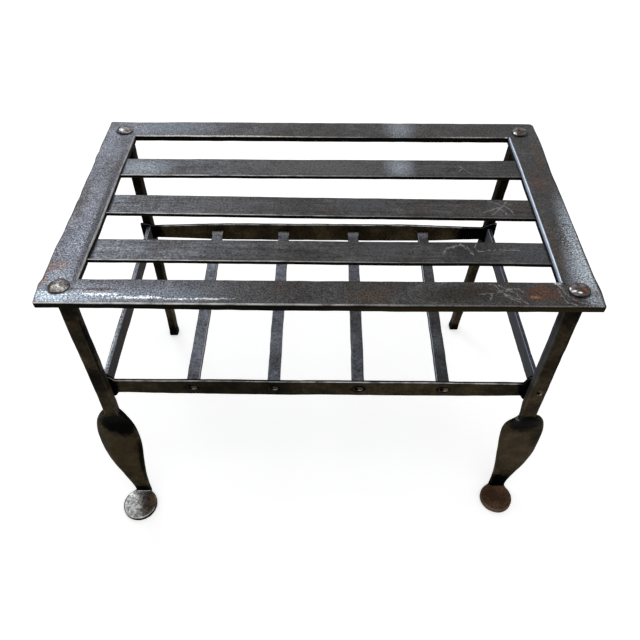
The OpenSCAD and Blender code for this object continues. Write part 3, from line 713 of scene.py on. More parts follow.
# %% Frame and slat iron
TOP, SLAT_TOP = 325, 323
HEAD_PLACES = [(-214.8, -101.7), (214.3, -101.5), (-211, 136.5), (212.4, 137.0)]
frame_patches = on_face(
    TOP,
    # the front left corner and the left bar: painted glow and sheen of the window, painted shade along the
    # left bar's inner edge, and rust
    (PAINTED_GLOW, (-200, -112), (62, 17, 6), 0.95, *SMOOTH), (PAINTED_GLOW, (-219, -88), (14, 26), 0.62, *SMOOTH),
    (PAINTED_SHEEN, (-130, -110), (90, 14, 6), 0.4, *SMOOTH), (PAINTED_SHEEN, (-214, -50), (12, 60), 0.35, *SMOOTH),
    (PAINTED_SHEEN, (-218, 120), (14, 50), 0.3, *SMOOTH),
    ((0.046, 0.046, 0.052), (-204, -10), (4.5, 130), 0.85, 0.1, 0.3),
    (PALE_RUST, (-224, -77), (11, 7), 0.5, 1.0, 0.6), (PALE_RUST, (-231, -92), (3.5, 10), 0.8, 0.8),
    (BROWN, (-225, 15), (6, 40), 0.4, 0.7),
    # the front bar: worn flakes along its front arris, paler and bluer at the left corner, partly wear and
    # partly painted highlight, with plum, brown, rust and darker patches
    (PLUM, (-184, -104.5), (20, 1.9), 0.95, 0.8, 0.6),
    (SILVER_AND_HIGHLIGHT, (-178, -110.3), (15, 1.3), 0.85, *FLAKY), (SILVER_AND_HIGHLIGHT, (-146, -113.6), (19, 1.4), 0.8, *FLAKY),
    (SILVER_AND_HIGHLIGHT, (-112, -115), (12, 0.8), 0.7, *FLAKY), (SILVER_AND_HIGHLIGHT, (-88, -114.6), (13, 0.9), 0.65, *FLAKY),
    ((0.42, 0.48, 0.54), (-219, -113), (16, 6), 0.8, 1.2, 0.8, 600.0), (BROWN, (45, -110), (22, 9), 0.6),
    ((0.027, 0.023, 0.019), (114, -108), (44, 14), 0.9, 0.4, 0.2), (RUST, (184, -104), (15, 11), 0.72, 0.6),
    (ORANGE, (176, -109.5), (7, 1.8), 0.75, 0.7),
    ((0.050, 0.049, 0.048), (-62, -110), (34, 17), 0.6, *SMOOTH),
    # the right bar: a painted glow of the window towards its front and outer edge, pale flecks in it as
    # painted glints, dark flecks, a nick, a small dark mark, rust and brown
    (PAINTED_GLOW, (229, -14), (14, 58), 0.75, *SMOOTH), (PAINTED_GLOW, (221, -80), (17, 42), 0.85, *SMOOTH),
    ((0.50, 0.55, 0.60), (225, -68), (9, 52), 0.75, 1.4, 0.2, 520.0),
    ((0.020, 0.021, 0.022), (222, -62), (10, 52), 0.35, 1.4, 0.0, 640.0),
    ((0.45, 0.47, 0.50), (197.5, -93.5), (3.6, 2.4), 0.85, 0.9), (PAINTED_GLOW, (226, -106), (14, 18), 0.7, *SMOOTH),
    (SOOT_AND_SHADE, (224, -18), (4.0, 0.8), 0.9, 0.5), (RUST, (226, -106), (3, 6), 0.5),
    (BROWN, (207, -45), (5, 45), 0.5, 0.6), (RUST, (213, 44), (8, 13), 0.42, 0.9),
    (RUST, (222, 82), (3.5, 12), 0.45, 0.8), (BROWN, (222, 98), (6, 26), 0.6),
    # the back bar: a pale line along its front arris, partly wear and partly painted highlight, a nick,
    # painted glow and sheen of the window, and a darker right end
    ((0.42, 0.40, 0.36), (-115, 126.4), (92, 0.9, 3), 0.85, 0.4, 0.5, 300.0),
    ((0.30, 0.28, 0.24), (155, 126.4), (44, 0.8, 3), 0.7, 0.3, 0.5, 300.0),
    (SILVER_AND_HIGHLIGHT, (196.8, 125.6), (2.4, 1.5), 0.85, 0.5), (PAINTED_GLOW, (84, 142), (22, 30), 0.62, *SMOOTH),
    ((0.036, 0.035, 0.037), (185, 142), (45, 20), 0.8, 0.2, 0.2),
    (PAINTED_SHEEN, (-165, 142), (60, 22), 0.45, *SMOOTH),
    # painted shadow in the creases around the rivet heads, a little to their front
    *[(SOOT_AND_SHADE, (x, y - 2.0), (9.7, 8.4, 4), 0.9, 0.08, 0.82) for x, y in HEAD_PLACES])
frame_iron = worn_iron(
    "frame_iron", (0.112, 0.116, 0.134), (0.048, 0.047, 0.048), fineness=680.0,
    arris=(0.85, 0.12, 0.35, 0.95), spots=frame_patches,
    # the front face of the front bar browner on the right, and a painted black line of shade along the outer
    # edge of the right bar
    late=[((0.030, 0.021, 0.010), (170, -122, 320), (190, 4.0, 4.6), 1.0, 0.05, 0.7),
          (BLACK_SKIN_AND_SHADE, (233.2, -60, 324.5), (5.0, 92, 4), 0.95, 0.04, 0.6),
          (BLACK_SKIN_AND_SHADE, (231.2, 60, 324.5), (3.8, 60, 4), 0.8, 0.04, 0.6)],
    courses=[[(141, -95), (147, -98), (148.5, -104), (157, -110), (162, -113), (169, -117)],
             [(148, -96), (154, -101.5), (164, -101), (170, -105.5)],
             [(147, -104), (157, -102.5), (162, -106.5), (164, -113)],
             [(151.5, -106.5), (157, -113), (163, -116)],
             [(131, -107.5), (137, -105), (142, -106.5), (139, -113)],
             [(196, -92), (199, -98), (201.5, -106.5), (210.5, -116), (221, -119)],
             [(196.5, -100), (199.5, -114.5), (207.5, -119)], [(194, -92), (198, -95), (202, -101)]])
slat_iron = worn_iron(
    "slat_iron", (0.105, 0.110, 0.125), (0.047, 0.046, 0.047), stretch=(0.05, 1.0, 1.0), contrast=0.55,
    spots=on_face(
        SLAT_TOP,
        # patches of tone along the slats; the broad pale one on the back slat and the glows are painted
        # sheen of the window
        ((0.095, 0.093, 0.096), (0, 74), (118, 30), 0.8, *SMOOTH),
        ((0.034, 0.034, 0.036), (186, 74), (26, 24), 0.6, *SMOOTH),
        ((0.026, 0.026, 0.026), (130, -52), (32, 24), 0.95, *SMOOTH),
        ((0.050, 0.049, 0.050), (-32, 12), (30, 22), 0.6, *SMOOTH),
        (PAINTED_GLOW, (-180, 70), (40, 22, 4), 0.6, *SMOOTH), (PAINTED_GLOW, (79, 74), (20, 26, 4), 0.8, *SMOOTH),
        ((0.088, 0.088, 0.096), (-95, 12), (48, 20, 4), 0.6, *SMOOTH),
        ((0.064, 0.066, 0.072), (40, 12), (40, 20, 4), 0.8, *SMOOTH),
        ((0.070, 0.071, 0.075), (55, -52), (46, 18, 4), 0.6, *SMOOTH),
        ((0.062, 0.066, 0.077), (184, -53), (26, 20, 4), 0.8, *SMOOTH),
        # painted contact shadow where the slats run under the side bars
        (SOOT_AND_SHADE, (-201.5, 0), (6, 150), 1.0, 0.08), (SOOT_AND_SHADE, (201.5, 0), (5, 150), 1.0, 0.08)),
    courses=[[(138, 77), (150, 63)], [(138, 67), (142, 71)],
             [(160, 19), (171, 12.5), (177, 8), (180, 1)], [(177, 19), (169, 8), (160, -1.5)],
             [(167, 8), (173, 1.5), (173.5, -1.5)], [(152, 1.5), (165, 8), (181, 15)],
             [(108, -57.5), (111, -48.5), (117, -48), (125, -43), (128, -49), (134, -57)],
             [(113, -49), (121, -44.5), (129.5, -46), (134.5, -57)],
             [(138, -42.5), (136, -49), (139.5, -53), (146, -51.5), (157, -50.5), (175, -50.5)]])
print("frame and slats painted")

# %% Leg and strip iron
PEEN_PLACES = [(x, -99, 182) for x in (-126, -45.5, 38.5, 123)]
leg_iron = fire_iron(
    "leg_iron", (0.046, 0.034, 0.017), (0.019, 0.0135, 0.0060), rim=(0.070, 0.062, 0.044), spots=[
        # the leaves, lighter as painted light where they face up, painted highlights down the left leaf's
        # outer bevel and the right leg's inner edge, and darker edges
        ((0.060, 0.045, 0.023), (-216, -112, 72), (22, 22, 42), 0.5),
        ((0.076, 0.054, 0.031), (212, -110, 76), (22, 22, 42), 0.5),
        ((0.085, 0.074, 0.050), (-232, -110, 98), (5, 10, 40), 0.4),
        (BLACK_SKIN_AND_SHADE, (-195, -112, 55), (6, 20, 46), 0.6),
        ((0.056, 0.060, 0.072), (205.5, -103, 255), (3, 8, 80), 0.8),
        (BLACK_SKIN_AND_SHADE, (221, -106, 250), (3, 8, 80), 0.5),
        # soot in their hollows, on their feet and beside the shelf
        # painted shade in the leaf hollows, at the ankles, beside the shelf and under the top, painted shade
        # and light along the left leg's inner edge, and a brown patch
        (SOOT_AND_SHADE, (-211, -104, 126), (20, 14, 24), 1.0), (SOOT_AND_SHADE, (-205, -116, 4), (18, 12, 16), 1.0),
        (SOOT_AND_SHADE, (215, -106, 140), (11, 10, 13), 1.0), (BLACK_SKIN_AND_SHADE, (215, -106, 134), (20, 12, 20), 0.7),
        (SOOT_AND_SHADE, (209, -108, 6), (20, 14, 27), 1.0), (SOOT_AND_SHADE, (-213, -108, 203), (14, 20, 22), 0.5),
        (SOOT_AND_SHADE, (-206.6, -103, 250), (1.1, 8, 80), 0.9), (SOOT_AND_SHADE, (213, -103, 304), (14, 12, 24), 0.45),
        ((0.030, 0.018, 0.010), (214, -106, 166), (12, 12, 18), 0.4),
        ((0.045, 0.045, 0.045), (-205.4, -99, 250), (1.3, 4, 80), 0.7),
        # the back legs
        (SOOT_AND_SHADE, (-211, 135, 240), (20, 20, 90), 0.55), (SOOT_AND_SHADE, (200, 140, 230), (24, 20, 110), 0.6),
        (SOOT_AND_SHADE, (-211, 131, 6), (14, 14, 18), 0.9), (SOOT_AND_SHADE, (192, 146, 4), (14, 14, 12), 0.7),
        (BLACK_SKIN_AND_SHADE, (-211, 135, 120), (14, 14, 60), 0.5), (BLACK_SKIN_AND_SHADE, (197, 144, 110), (16, 14, 60), 0.35),
        # painted shade on the left leg under the top, and a painted highlight at the right leg's neck
        (SOOT_AND_SHADE, (-213, -104, 310), (14, 12, 30), 0.4),
        ((0.45, 0.47, 0.55), (204.5, -103, 142), (3, 6, 3), 0.95)])
left_foot_iron = worn_iron(
    "left_foot_iron", (0.34, 0.34, 0.335), (0.32, 0.32, 0.31), fineness=420.0, arris=(0.7, 0.7, 0.1, 0.1),
    contrast=0.95, pitted=0.35, spots=[(BROWN, (-188, -132, 6), (20, 34, 8), 0.97, 0.25, 0.6),
                                       ((0.10, 0.065, 0.035), (-193, -128, 6), (5, 14, 8), 0.7, 0.6)])
right_foot_iron = fire_iron("right_foot_iron", (0.115, 0.066, 0.040), (0.072, 0.040, 0.024), fineness=600.0)
# Painted shade beside the legs and at the ends of the back strip, a darker stretch along the front strip,
# and painted shadow around each peened end; the pale rim on the front arrises is partly painted highlight.
strip_iron = fire_iron(
    "strip_iron", (0.042, 0.031, 0.0155), (0.018, 0.0130, 0.0065), rim=(0.50, 0.51, 0.53), bare=0.85,
    upright=True,
    spots=[(SOOT_AND_SHADE, (-211, -99, 184), (13, 6, 26), 1.0), (SOOT_AND_SHADE, (208, -99, 184), (14, 6, 26), 1.0),
           (SOOT_AND_SHADE, (-208, 128, 190), (17, 6, 30), 0.95), (SOOT_AND_SHADE, (192, 128, 190), (34, 6, 30), 0.95),
           (SOOT_AND_SHADE, (-70, -99, 182), (60, 6, 26), 0.35),
           *[(SOOT_AND_SHADE, place, (8, 4, 5), 1.0) for place in PEEN_PLACES]])
shelf_iron = worn_iron(
    "shelf_iron", (0.160, 0.170, 0.202), (0.062, 0.065, 0.073), span=(-0.2, 0.13), contrast=0.55,
    # a painted sheen of the window across the crossbars, and patches of tone
    spots=[(PAINTED_GLOW, (-80, -40, 188), (150, 26, 14), 0.35, *SMOOTH),
           ((0.115, 0.125, 0.135), (123, -42, 186), (10, 20, 14), 0.7, *SMOOTH),
           ((0.030, 0.031, 0.034), (123, -86, 184), (12, 14, 12), 0.7, *SMOOTH),
           # paler raised back ends of the crossbars, partly wear and partly painted highlight
           *[((0.19, 0.185, 0.20), (x, 124, 192), (9, 9, 8), 0.75, 0.2) for x, y, z in PEEN_PLACES]])
# The two side strips are lit and shaded copies of one iron, as painted light: the left one has a lit top
# with painted highlight lines along it and a dark inner face, and the right one a dark top and an inner face
# lit by the window.
left_side_iron_lit_top = worn_iron(
    "left_side_iron_lit_top", (0.125, 0.132, 0.148), (0.125, 0.132, 0.148), skin=(0.048, 0.046, 0.042), contrast=0.9,
    arris=(0.3, 0.3, 0.25, 0.25), bare=(0.50, 0.54, 0.62),
    spots=[((0.42, 0.45, 0.49), (-210, y, 200), (1, 34, 4), 0.75, 0.5, 0.5, 420.0) for y in (-70, 10)])
right_side_iron_lit_face = worn_iron(
    "right_side_iron_lit_face", (0.042, 0.045, 0.060), (0.042, 0.045, 0.060), skin=(0.082, 0.084, 0.094),
    contrast=0.7, arris=(0.4, 0.4, 0.4, 0.4))
# Each peened end has a painted shadow on its upper left and a painted highlight on its lower right.
peen_iron = fire_iron(
    "peen_iron", (0.060, 0.046, 0.031), (0.020, 0.015, 0.010), bare=0.35, rough=0.6, spots=[
        spot for x, y, z in PEEN_PLACES + [(214, -108, 190)]
        for spot in ((SOOT_AND_SHADE, (x - 2.2, y, z + 0.8), (2.8, 4, 2.6), 1.0),
                     ((0.26, 0.24, 0.21), (x + 1.5, y, z - 0.6), (2.2, 4, 1.0), 0.85))])
# The pale and silver spots on the heads are painted highlights, and the late rows paint a shadow in front of
# each head.
head_iron = worn_iron(
    "head_iron", (0.125, 0.112, 0.110), (0.085, 0.070, 0.065), fineness=380.0, arris=(0.1, 0.05, 0.05, 0.05),
    skin=(0.080, 0.074, 0.074), spots=[
        # the front left head
        ((0.36, 0.35, 0.31), (-217, -105.5, 327), (7.5, 3.2, 6), 0.85, 1.2, 0.5, 600.0),
        (BROWN, (-220, -99, 328), (3.5, 5, 6), 0.8, 0.8),
        ((0.050, 0.044, 0.044), (-208, -99, 328), (4.5, 4.5, 6), 0.9, 0.5),
        (SILVER_AND_HIGHLIGHT, (-215.4, -102.8, 328), (1.8, 1.6, 6), 0.95, 0.8),
        # the front right head
        (RUST, (218, -105, 327), (5.5, 4.5, 6), 0.9, 0.6),
        (SILVER_AND_HIGHLIGHT, (206.6, -101, 327), (1.0, 2.6, 6), 0.9, 0.3),
        (SILVER_AND_HIGHLIGHT, (208.9, -104.3, 327), (2.2, 1.2, 6), 0.9, 0.3),
        (SILVER_AND_HIGHLIGHT, (213, -106.2, 327), (3.0, 1.0, 6), 0.85, 0.5),
        # the back left head, then the back right one
        (SILVER_AND_HIGHLIGHT, (-216, 133, 328), (4.5, 3, 6), 0.6, 0.8),
        (SILVER_AND_HIGHLIGHT, (205.3, 133, 327), (2.5, 3.5, 6), 0.9, 0.7), (BROWN, (212.8, 137.5, 328), (5, 5, 6), 0.9),
        (SILVER_AND_HIGHLIGHT, (218.3, 139, 328), (1.6, 1.6, 6), 0.8)],
    late=[(SOOT_AND_SHADE, (x, y - 9.0, 325.2), (8.5, 2.8, 1.5), 1.0, 0.08, 0.7) for x, y in HEAD_PLACES])
print("materials:", [m.name for m in bpy.data.materials if m.use_nodes])

# %% [markdown]
# The top frame looks like one ring with soft inner edges, though it is four bars lapped at the corners.
# It is modelled that way round too. A section with rounded edges runs once around the ring, the hammer
# tree works it as one surface, and only then is it cut into its four bars along the laps. The hammer
# marks then run on across each joint, as they do where a smith dresses a joint flat.

# %% The ring of the top
INNER_EDGES = [(1.0 * MM, 0.8 * MM), (3.6 * MM, 1.9 * MM), (1.1 * MM, 0.9 * MM), (2.2 * MM, 1.4 * MM)]
OUTER_ROUND, UNDER_ROUND = 1.8 * MM, 0.6 * MM
CORNER_ROUND = {(1, 1): 4.5 * MM}
PLAIN_CORNER = 1.8 * MM
RING_STEP = 1.8 * MM
COLUMNS, UNDER_COLUMNS = 18, 8
OUTER_SIDE_LIFT, INNER_SIDE_LIFT = -0.5 * MM, -0.8 * MM
EIGHTH = math.pi / 4
CORNER_STEPS = 6


def ring_section(width, edge):
    """Points around the section of a frame bar: (distance from its inner face, height)."""
    edge_w, edge_h = edge
    turns = np.linspace(0, math.pi / 2, 6)
    points = [(edge_w * (1 - math.cos(a)), top_z - edge_h * (1 - math.sin(a))) for a in turns]
    flat = width - edge_w - OUTER_ROUND
    points += [(edge_w + flat * i / COLUMNS, top_z) for i in range(1, COLUMNS)]
    points += [(width - OUTER_ROUND * (1 - math.sin(a)), top_z - OUTER_ROUND * (1 - math.cos(a)))
               for a in turns]
    points += [(width, lap_z + OUTER_SIDE_LIFT)]
    points += [(width - UNDER_ROUND * 0.3, under_z + UNDER_ROUND * 0.3)]
    points += [(width - UNDER_ROUND - (width - 2 * UNDER_ROUND) * i / UNDER_COLUMNS, under_z)
               for i in range(UNDER_COLUMNS + 1)]
    points += [(UNDER_ROUND * 0.3, under_z + UNDER_ROUND * 0.3)]
    points += [(0.0, lap_z + INNER_SIDE_LIFT)]
    return points


def ring_corner(corner):
    """Inner point, centre of the outer rounding and its radius, at a corner given by its signs."""
    inner = Vector([(low if sign < 0 else high) for sign, low, high in zip(corner, inner_low, inner_high)])
    outer = Vector([(low if sign < 0 else high) for sign, low, high in zip(corner, outer_low, outer_high)])
    radius = CORNER_ROUND.get(corner, PLAIN_CORNER)
    return inner, outer - Vector(corner) * radius, radius


def ring_stations():
    """Inner point, outer point and inner edge of each station around the ring, corners rounded."""
    pairs = []
    corners = [(-1, -1), (1, -1), (1, 1), (-1, 1)]
    for corner, following, edge in zip(corners, corners[1:] + corners[:1], INNER_EDGES):
        inner, centre, radius = ring_corner(corner)
        next_inner, next_centre, next_radius = ring_corner(following)
        along = (Vector(following) - Vector(corner)).normalized()
        outward = Vector((along.y, -along.x))
        for i in range(CORNER_STEPS + 1):
            angle = EIGHTH - EIGHTH * (i / CORNER_STEPS)
            turn = outward * math.cos(angle) - along * math.sin(angle)
            pairs.append((inner, centre + turn * radius, edge))
        start, stop = centre + outward * radius, next_centre + outward * next_radius
        steps = int((stop - start).length / RING_STEP)
        for i in range(1, steps):
            pairs.append((inner.lerp(next_inner, i / steps), start.lerp(stop, i / steps), edge))
        for i in range(CORNER_STEPS):
            angle = EIGHTH * (i / CORNER_STEPS)
            turn = outward * math.cos(angle) + along * math.sin(angle)
            pairs.append((next_inner, next_centre + turn * next_radius, edge))
    return pairs

# %% [markdown]
# The ring is not straight either. Each list below goes along one side and says, in millimetres, how far
# the side stands out there, or how far the front bar's underside hangs down.

# %% The ring's own crooked outline
LEFT_OUT = [(-120, 1.8), (-108, 2.6), (-99, 3.4), (-91, 1.9), (-56, 2.2), (-32, 1.2), (4, 0.5), (34, -0.6),
            (76, -0.1), (88, 1.0), (104, -0.6), (154, 0.0)]
RIGHT_OUT = [(-120, 1.6), (-104, 2.3), (-80, 1.1), (16, 0.7), (64, -0.1), (112, -0.8), (154, 0.1)]
LEFT_IN = [(-92, 5.0), (-68, 4.4), (-20, 3.3), (52, 2.9), (125, 1.5)]
RIGHT_IN = [(-92, 3.2), (0, 3.0), (60, 2.4), (125, 1.2)]
BACK_OUT = [(-230, -0.4), (-195, -1.3), (-150, 0.0), (230, 0.0)]
FRONT_SAG = [(-180, 0.2), (-60, 1.3), (60, 1.5), (150, 0.8), (230, 0.4)]
SAG_START, SAG_RUN = 12 * MM, 14 * MM


def along(points, place):
    """Height at a place, in metres, of a smooth line through points given in millimetres."""
    place /= MM
    for (a, low), (b, high) in zip(points, points[1:]):
        if place <= b:
            return mix(low, high, ease((place - a) / (b - a))) * MM
    return points[-1][1] * MM


def wandered(point):
    """Where a point of the straight ring lies on the crooked one."""
    x, y, z = point
    outer, inner = (LEFT_OUT, LEFT_IN) if x < 0 else (RIGHT_OUT, RIGHT_IN)
    width = inner_high.x
    share = min(1.0, max(0.0, (abs(x) - width) / (outer_high.x - width)))
    push = mix(along(inner, y) * min(1.0, abs(x) / width), along(outer, y), share)
    if y > inner_high.y:
        y += along(BACK_OUT, x) * (y - inner_high.y) / (outer_high.y - inner_high.y)
    front = ease((inner_low.y - SAG_START - y) / SAG_RUN)
    sag = along(FRONT_SAG, x) * front * ease((top_z - z) / (top_z - under_z))
    return (x + math.copysign(push, x), y, z - sag)

# %% Work the ring
pairs = ring_stations()
points = []
for inner, outer, edge in pairs:
    across = outer - inner
    for reach, z in ring_section(across.length, edge):
        points.append((*(inner + across * (reach / across.length)), z))
sides = len(points) // len(pairs)
faces = []
for i in range(len(pairs)):
    here, there = i * sides, (i + 1) % len(pairs) * sides
    faces += [(here + j, there + j, there + (j + 1) % sides, here + (j + 1) % sides) for j in range(sides)]
ring = new_piece("top_ring", mesh_from("top_ring", points, faces))
for v in ring.data.vertices:
    v.co = wandered(v.co)
forge(ring, hammer_tree, Seed=3.0, Wander=0.0004, Reach=0.07, Dent=0.0005, Facet=0.016, Material=frame_iron)
store_relief(ring)
print("ring:", len(ring.data.polygons), "faces, stations", len(pairs))

# %% Cut the ring into its bars
SPARE = 20 * MM
CUT_ANGLE = math.radians(50)


def prism(name, outline, y0, y1):
    """A closed prism from an outline in X and Z, between two places along Y."""
    n = len(outline)
    points = [(x, y0, z) for x, z in outline] + [(x, y1, z) for x, z in outline]
    faces = [tuple(range(n)), tuple(range(2 * n - 1, n - 1, -1))]
    faces += [(i, i + n, (i + 1) % n + n, (i + 1) % n) for i in range(n)]
    return new_piece(name, mesh_from(name, points, faces))


def cut(piece, tool, operation):
    """Boolean of the piece with the tool, run at once."""
    modifier = piece.modifiers.new("cut", "BOOLEAN")
    modifier.operation = operation
    modifier.solver = "MANIFOLD"
    modifier.object = tool
    settle(piece)


wide = (outer_low.x - SPARE, outer_high.x + SPARE)
lap_outline = [(wide[0], lap_z), (inner_low.x, lap_z), (inner_low.x, under_z - SPARE),
               (inner_high.x, under_z - SPARE), (inner_high.x, lap_z), (wide[1], lap_z),
               (wide[1], top_z + SPARE), (wide[0], top_z + SPARE)]
front_tool = prism("front_tool", lap_outline, outer_low.y - SPARE, inner_low.y)
back_tool = prism("back_tool", lap_outline, inner_high.y, outer_high.y + SPARE)
half_outline = [(x, z) for z, xs in ((under_z - SPARE, (0.0, wide[1])), (top_z + SPARE, (wide[1], 0.0)))
                for x in xs]
right_tool = prism("right_tool", half_outline, outer_low.y - SPARE, outer_high.y + SPARE)

between = [(front_tool, "DIFFERENCE"), (back_tool, "DIFFERENCE")]
for name, steps in {
        "front_bar": [(front_tool, "INTERSECT")], "back_bar": [(back_tool, "INTERSECT")],
        "left_bar": between + [(right_tool, "DIFFERENCE")],
        "right_bar": between + [(right_tool, "INTERSECT")]}.items():
    bar = new_piece(name, ring.data.copy())
    for tool, operation in steps:
        cut(bar, tool, operation)
    bar.data.set_sharp_from_angle(angle=CUT_ANGLE)
    hand_over(bar, "bright_worn_iron", "frame_" + name)
for spent in (ring, front_tool, back_tool, right_tool):
    bpy.data.objects.remove(spent)

# %% [markdown]
# The slats, the shelf's crossbars and its side strips come from the bar tree. Each takes its size and
# place from the box of its solid. The crossbars climb towards the back, which their boxes can't tell,
# so that slope is named.

# %% Slats
UPSET_RISE, UPSET_SPREAD = 1.6 * MM, 0.12


def straight_bar(node, slot, material, low, high, turn=(0.0, 0.0, 0.0), upset=0.0, **blows_values):
    """A bar of the bar tree that fills the box from low to high, turned about its middle.

    A bar with an upset length is raised and a little wider over that length at its back end.
    """
    bar = new_piece(node)
    middle = [(start + stop) / 2 for start, stop in zip(low, high)]
    forge(bar, bar_tree, Size=[stop - start for start, stop in zip(low, high)], Place=middle,
          Turn=list(turn), Material=material, **blows_values)
    if upset:
        for v in bar.data.vertices:
            end_share = ease((v.co.y - high[1] + upset) / upset)
            v.co.z += UPSET_RISE * end_share
            v.co.x += UPSET_SPREAD * end_share * (v.co.x - middle[0])
    hand_over(bar, slot, node)


for i, (node, skew, wider) in enumerate((("slat_front", -0.004, 0.5), ("slat_middle", -0.0115, 0.6),
                                         ("slat_back", 0.0, 1.0))):
    low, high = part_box(node)
    low.y -= wider * MM
    high.y += wider * MM
    straight_bar(node, "bright_worn_iron", slat_iron, low, high, turn=(0.0, 0.0, skew), Seed=10.0 + i,
                 Edge=0.75 * MM, Cell=0.85 * MM, Wander=0.0006, Dent=0.0003)

# %% Shelf bars
front_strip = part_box("shelf_front_strip")
back_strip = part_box("shelf_back_strip")
shelf_top = 200 * MM
near, far = front_strip[1].y, back_strip[0].y
CLIMB, UPSET_LONG = 8 * MM, 9 * MM
CROSSBARS = ["shelf_crossbar_%d" % i for i in range(1, 5)]
for i, node in enumerate(CROSSBARS):
    low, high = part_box(node)
    half_thick = (high.z - low.z - CLIMB) / 2
    middle = (low.z + high.z) / 2
    straight_bar(node, "dark_shelf_iron", shelf_iron, (low.x, near, middle - half_thick),
                 (high.x, far, middle + half_thick), turn=(math.atan(CLIMB / (far - near)), 0.0, 0.0),
                 upset=UPSET_LONG, Seed=21.0 + i, Edge=0.8 * MM, Cell=0.9 * MM, Wander=0.0007, Reach=0.04,
                 Dent=0.0004, Facet=0.010)
print("shelf bars done")

# %% Side strips
SIDE_STRIP_HIGH, SIDE_HALF = 20 * MM, 2.3 * MM
LEFT_SHIFT, RIGHT_INSET = 1.2 * MM, 2.6 * MM
left_strip, right_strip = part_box("shelf_left_strip"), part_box("shelf_right_strip")
left_x = (left_strip[0].x + left_strip[1].x) / 2 + LEFT_SHIFT
right_front, right_back = right_strip[1].x - SIDE_HALF - RIGHT_INSET, right_strip[0].x + SIDE_HALF
for node, x0, x1, side_iron, seed in (
        ("shelf_left_strip", left_x, left_x, left_side_iron_lit_top, 31.0),
        ("shelf_right_strip", right_front, right_back, right_side_iron_lit_face, 33.0)):
    middle = (x0 + x1) / 2
    straight_bar(node, "dark_shelf_iron", side_iron, (middle - SIDE_HALF, near, shelf_top - SIDE_STRIP_HIGH),
                 (middle + SIDE_HALF, far, shelf_top), turn=(0.0, 0.0, math.atan((x0 - x1) / (far - near))),
                 Seed=seed, Edge=0.9 * MM, Cell=0.9 * MM, Wander=0.0008, Reach=0.05, Dent=0.0006,
                 Facet=0.012)

# %% [markdown]
# The legs and the two long strips change their section as they go, so the bar tree can't make them.
# They are lofts: a ring of points for each station, with the rings joined by faces. The outline
# of a leaf swells out fast under the neck and falls in slowly towards the ankle. Two formulas say
# that, one above the widest place and one below it.

# %% Lofts
def loft(name, rings):
    """A closed mesh through rings of points, each ring with as many points as the next."""
    count, last = len(rings[0]), len(rings) - 1
    points = [p for ring in rings for p in ring]
    faces = [(i + j, i + (j + 1) % count, i + count + (j + 1) % count, i + count + j)
             for i in range(0, last * count, count) for j in range(count)]
    for i in (0, last):
        centre = sum((Vector(p) for p in rings[i]), Vector()) / count
        points.append(tuple(centre))
        faces += [(i * count + j, i * count + (j + 1) % count, len(points) - 1) for j in range(count)]
    return new_piece(name, mesh_from(name, points, faces))


def plate_section(x0, x1, y0, y1, bevel_w, bevel_d, edge, columns=20, turns=5):
    """Points around a flat section whose faces fall back towards soft edges."""
    points = []
    for front in (True, False):
        for i in range(columns + 1):
            share = ease(i / columns) if front else ease(1 - i / columns)
            x = mix(x0 + edge, x1 - edge, share)
            fall = bevel_d * (1 - ease(min(x - x0, x1 - x) / bevel_w))
            points.append((x, y0 + fall if front else y1 - fall))
        low = points[-1][1]
        side, high = (x1, y1 - (low - y0)) if front else (x0, y0 + (y1 - low))
        for i in range(1, turns):
            angle = math.pi * i / turns
            bulge = edge * math.sin(angle)
            points.append((side - edge + bulge if front else side + edge - bulge,
                           mix(low, high, (1 - math.cos(angle)) / 2)))
    return points

# %% Front legs
NECK, HOLLOW, ANKLE, INSTEP, THINNING = 146 * MM, 125 * MM, 8 * MM, 16 * MM, 20 * MM
BAR_D, LEAF_T, HOLLOW_D, ANKLE_T = 9 * MM, 5 * MM, 3.5 * MM, 6 * MM
LEAF_OUTER, LEAF_BEVEL, BAR_BEVEL, BEVEL_SLOPE = 25 * MM, 5 * MM, 0.8 * MM, 0.3
FOOT_T, FOOT_FILLET, FOOT_ROUND = 6 * MM, 5 * MM, 1.4 * MM
FRONT_LEG_X, LEG_EDGE = 213 * MM, 1.1 * MM
LEAF_STEPS, BAR_STEPS, LEAF_CROWDING = 110, 90, 1.25
MELT_VOXEL = 0.7 * MM
# the lengths that differ from leg to leg are in millimetres
FRONT_LEGS = {
    "leg_front_left": dict(
        out=-1, outer=(102, 0.54, 1.22), inner=(87, 0.79, 0.68), leaf_inner=19.2, ankle_w=16.7,
        ankle_in=6.8, kick=11.5, foot_d=38, foot_in=6, reach=16, neck_t=8.5, foot_iron=left_foot_iron,
        seed=41.0, bar_w=14.5),
    "leg_front_right": dict(
        out=1, outer=(106, 0.42, 1.65), inner=(116, 1.2, 0.82), leaf_inner=19.7, ankle_w=17.5,
        ankle_in=2.5, kick=0.0, foot_d=36, foot_in=6.5, reach=15, neck_t=5.5, foot_iron=right_foot_iron,
        seed=43.0, bar_w=16.8)}


def leaf_edge(z, neck, widest, ankle, shape):
    """Distance of a leaf's edge from the leg's axis: its widest height, its shoulder and its fall."""
    peak, shoulder, fall = shape[0] * MM, shape[1], shape[2]
    if z > peak:
        swell = math.sin(math.pi / 2 * max(0.0, NECK - z) / (NECK - peak))
        return mix(neck, widest, swell ** shoulder)
    return mix(widest, ankle, ease((max(0.0, peak - z) / (peak - ANKLE)) ** fall))


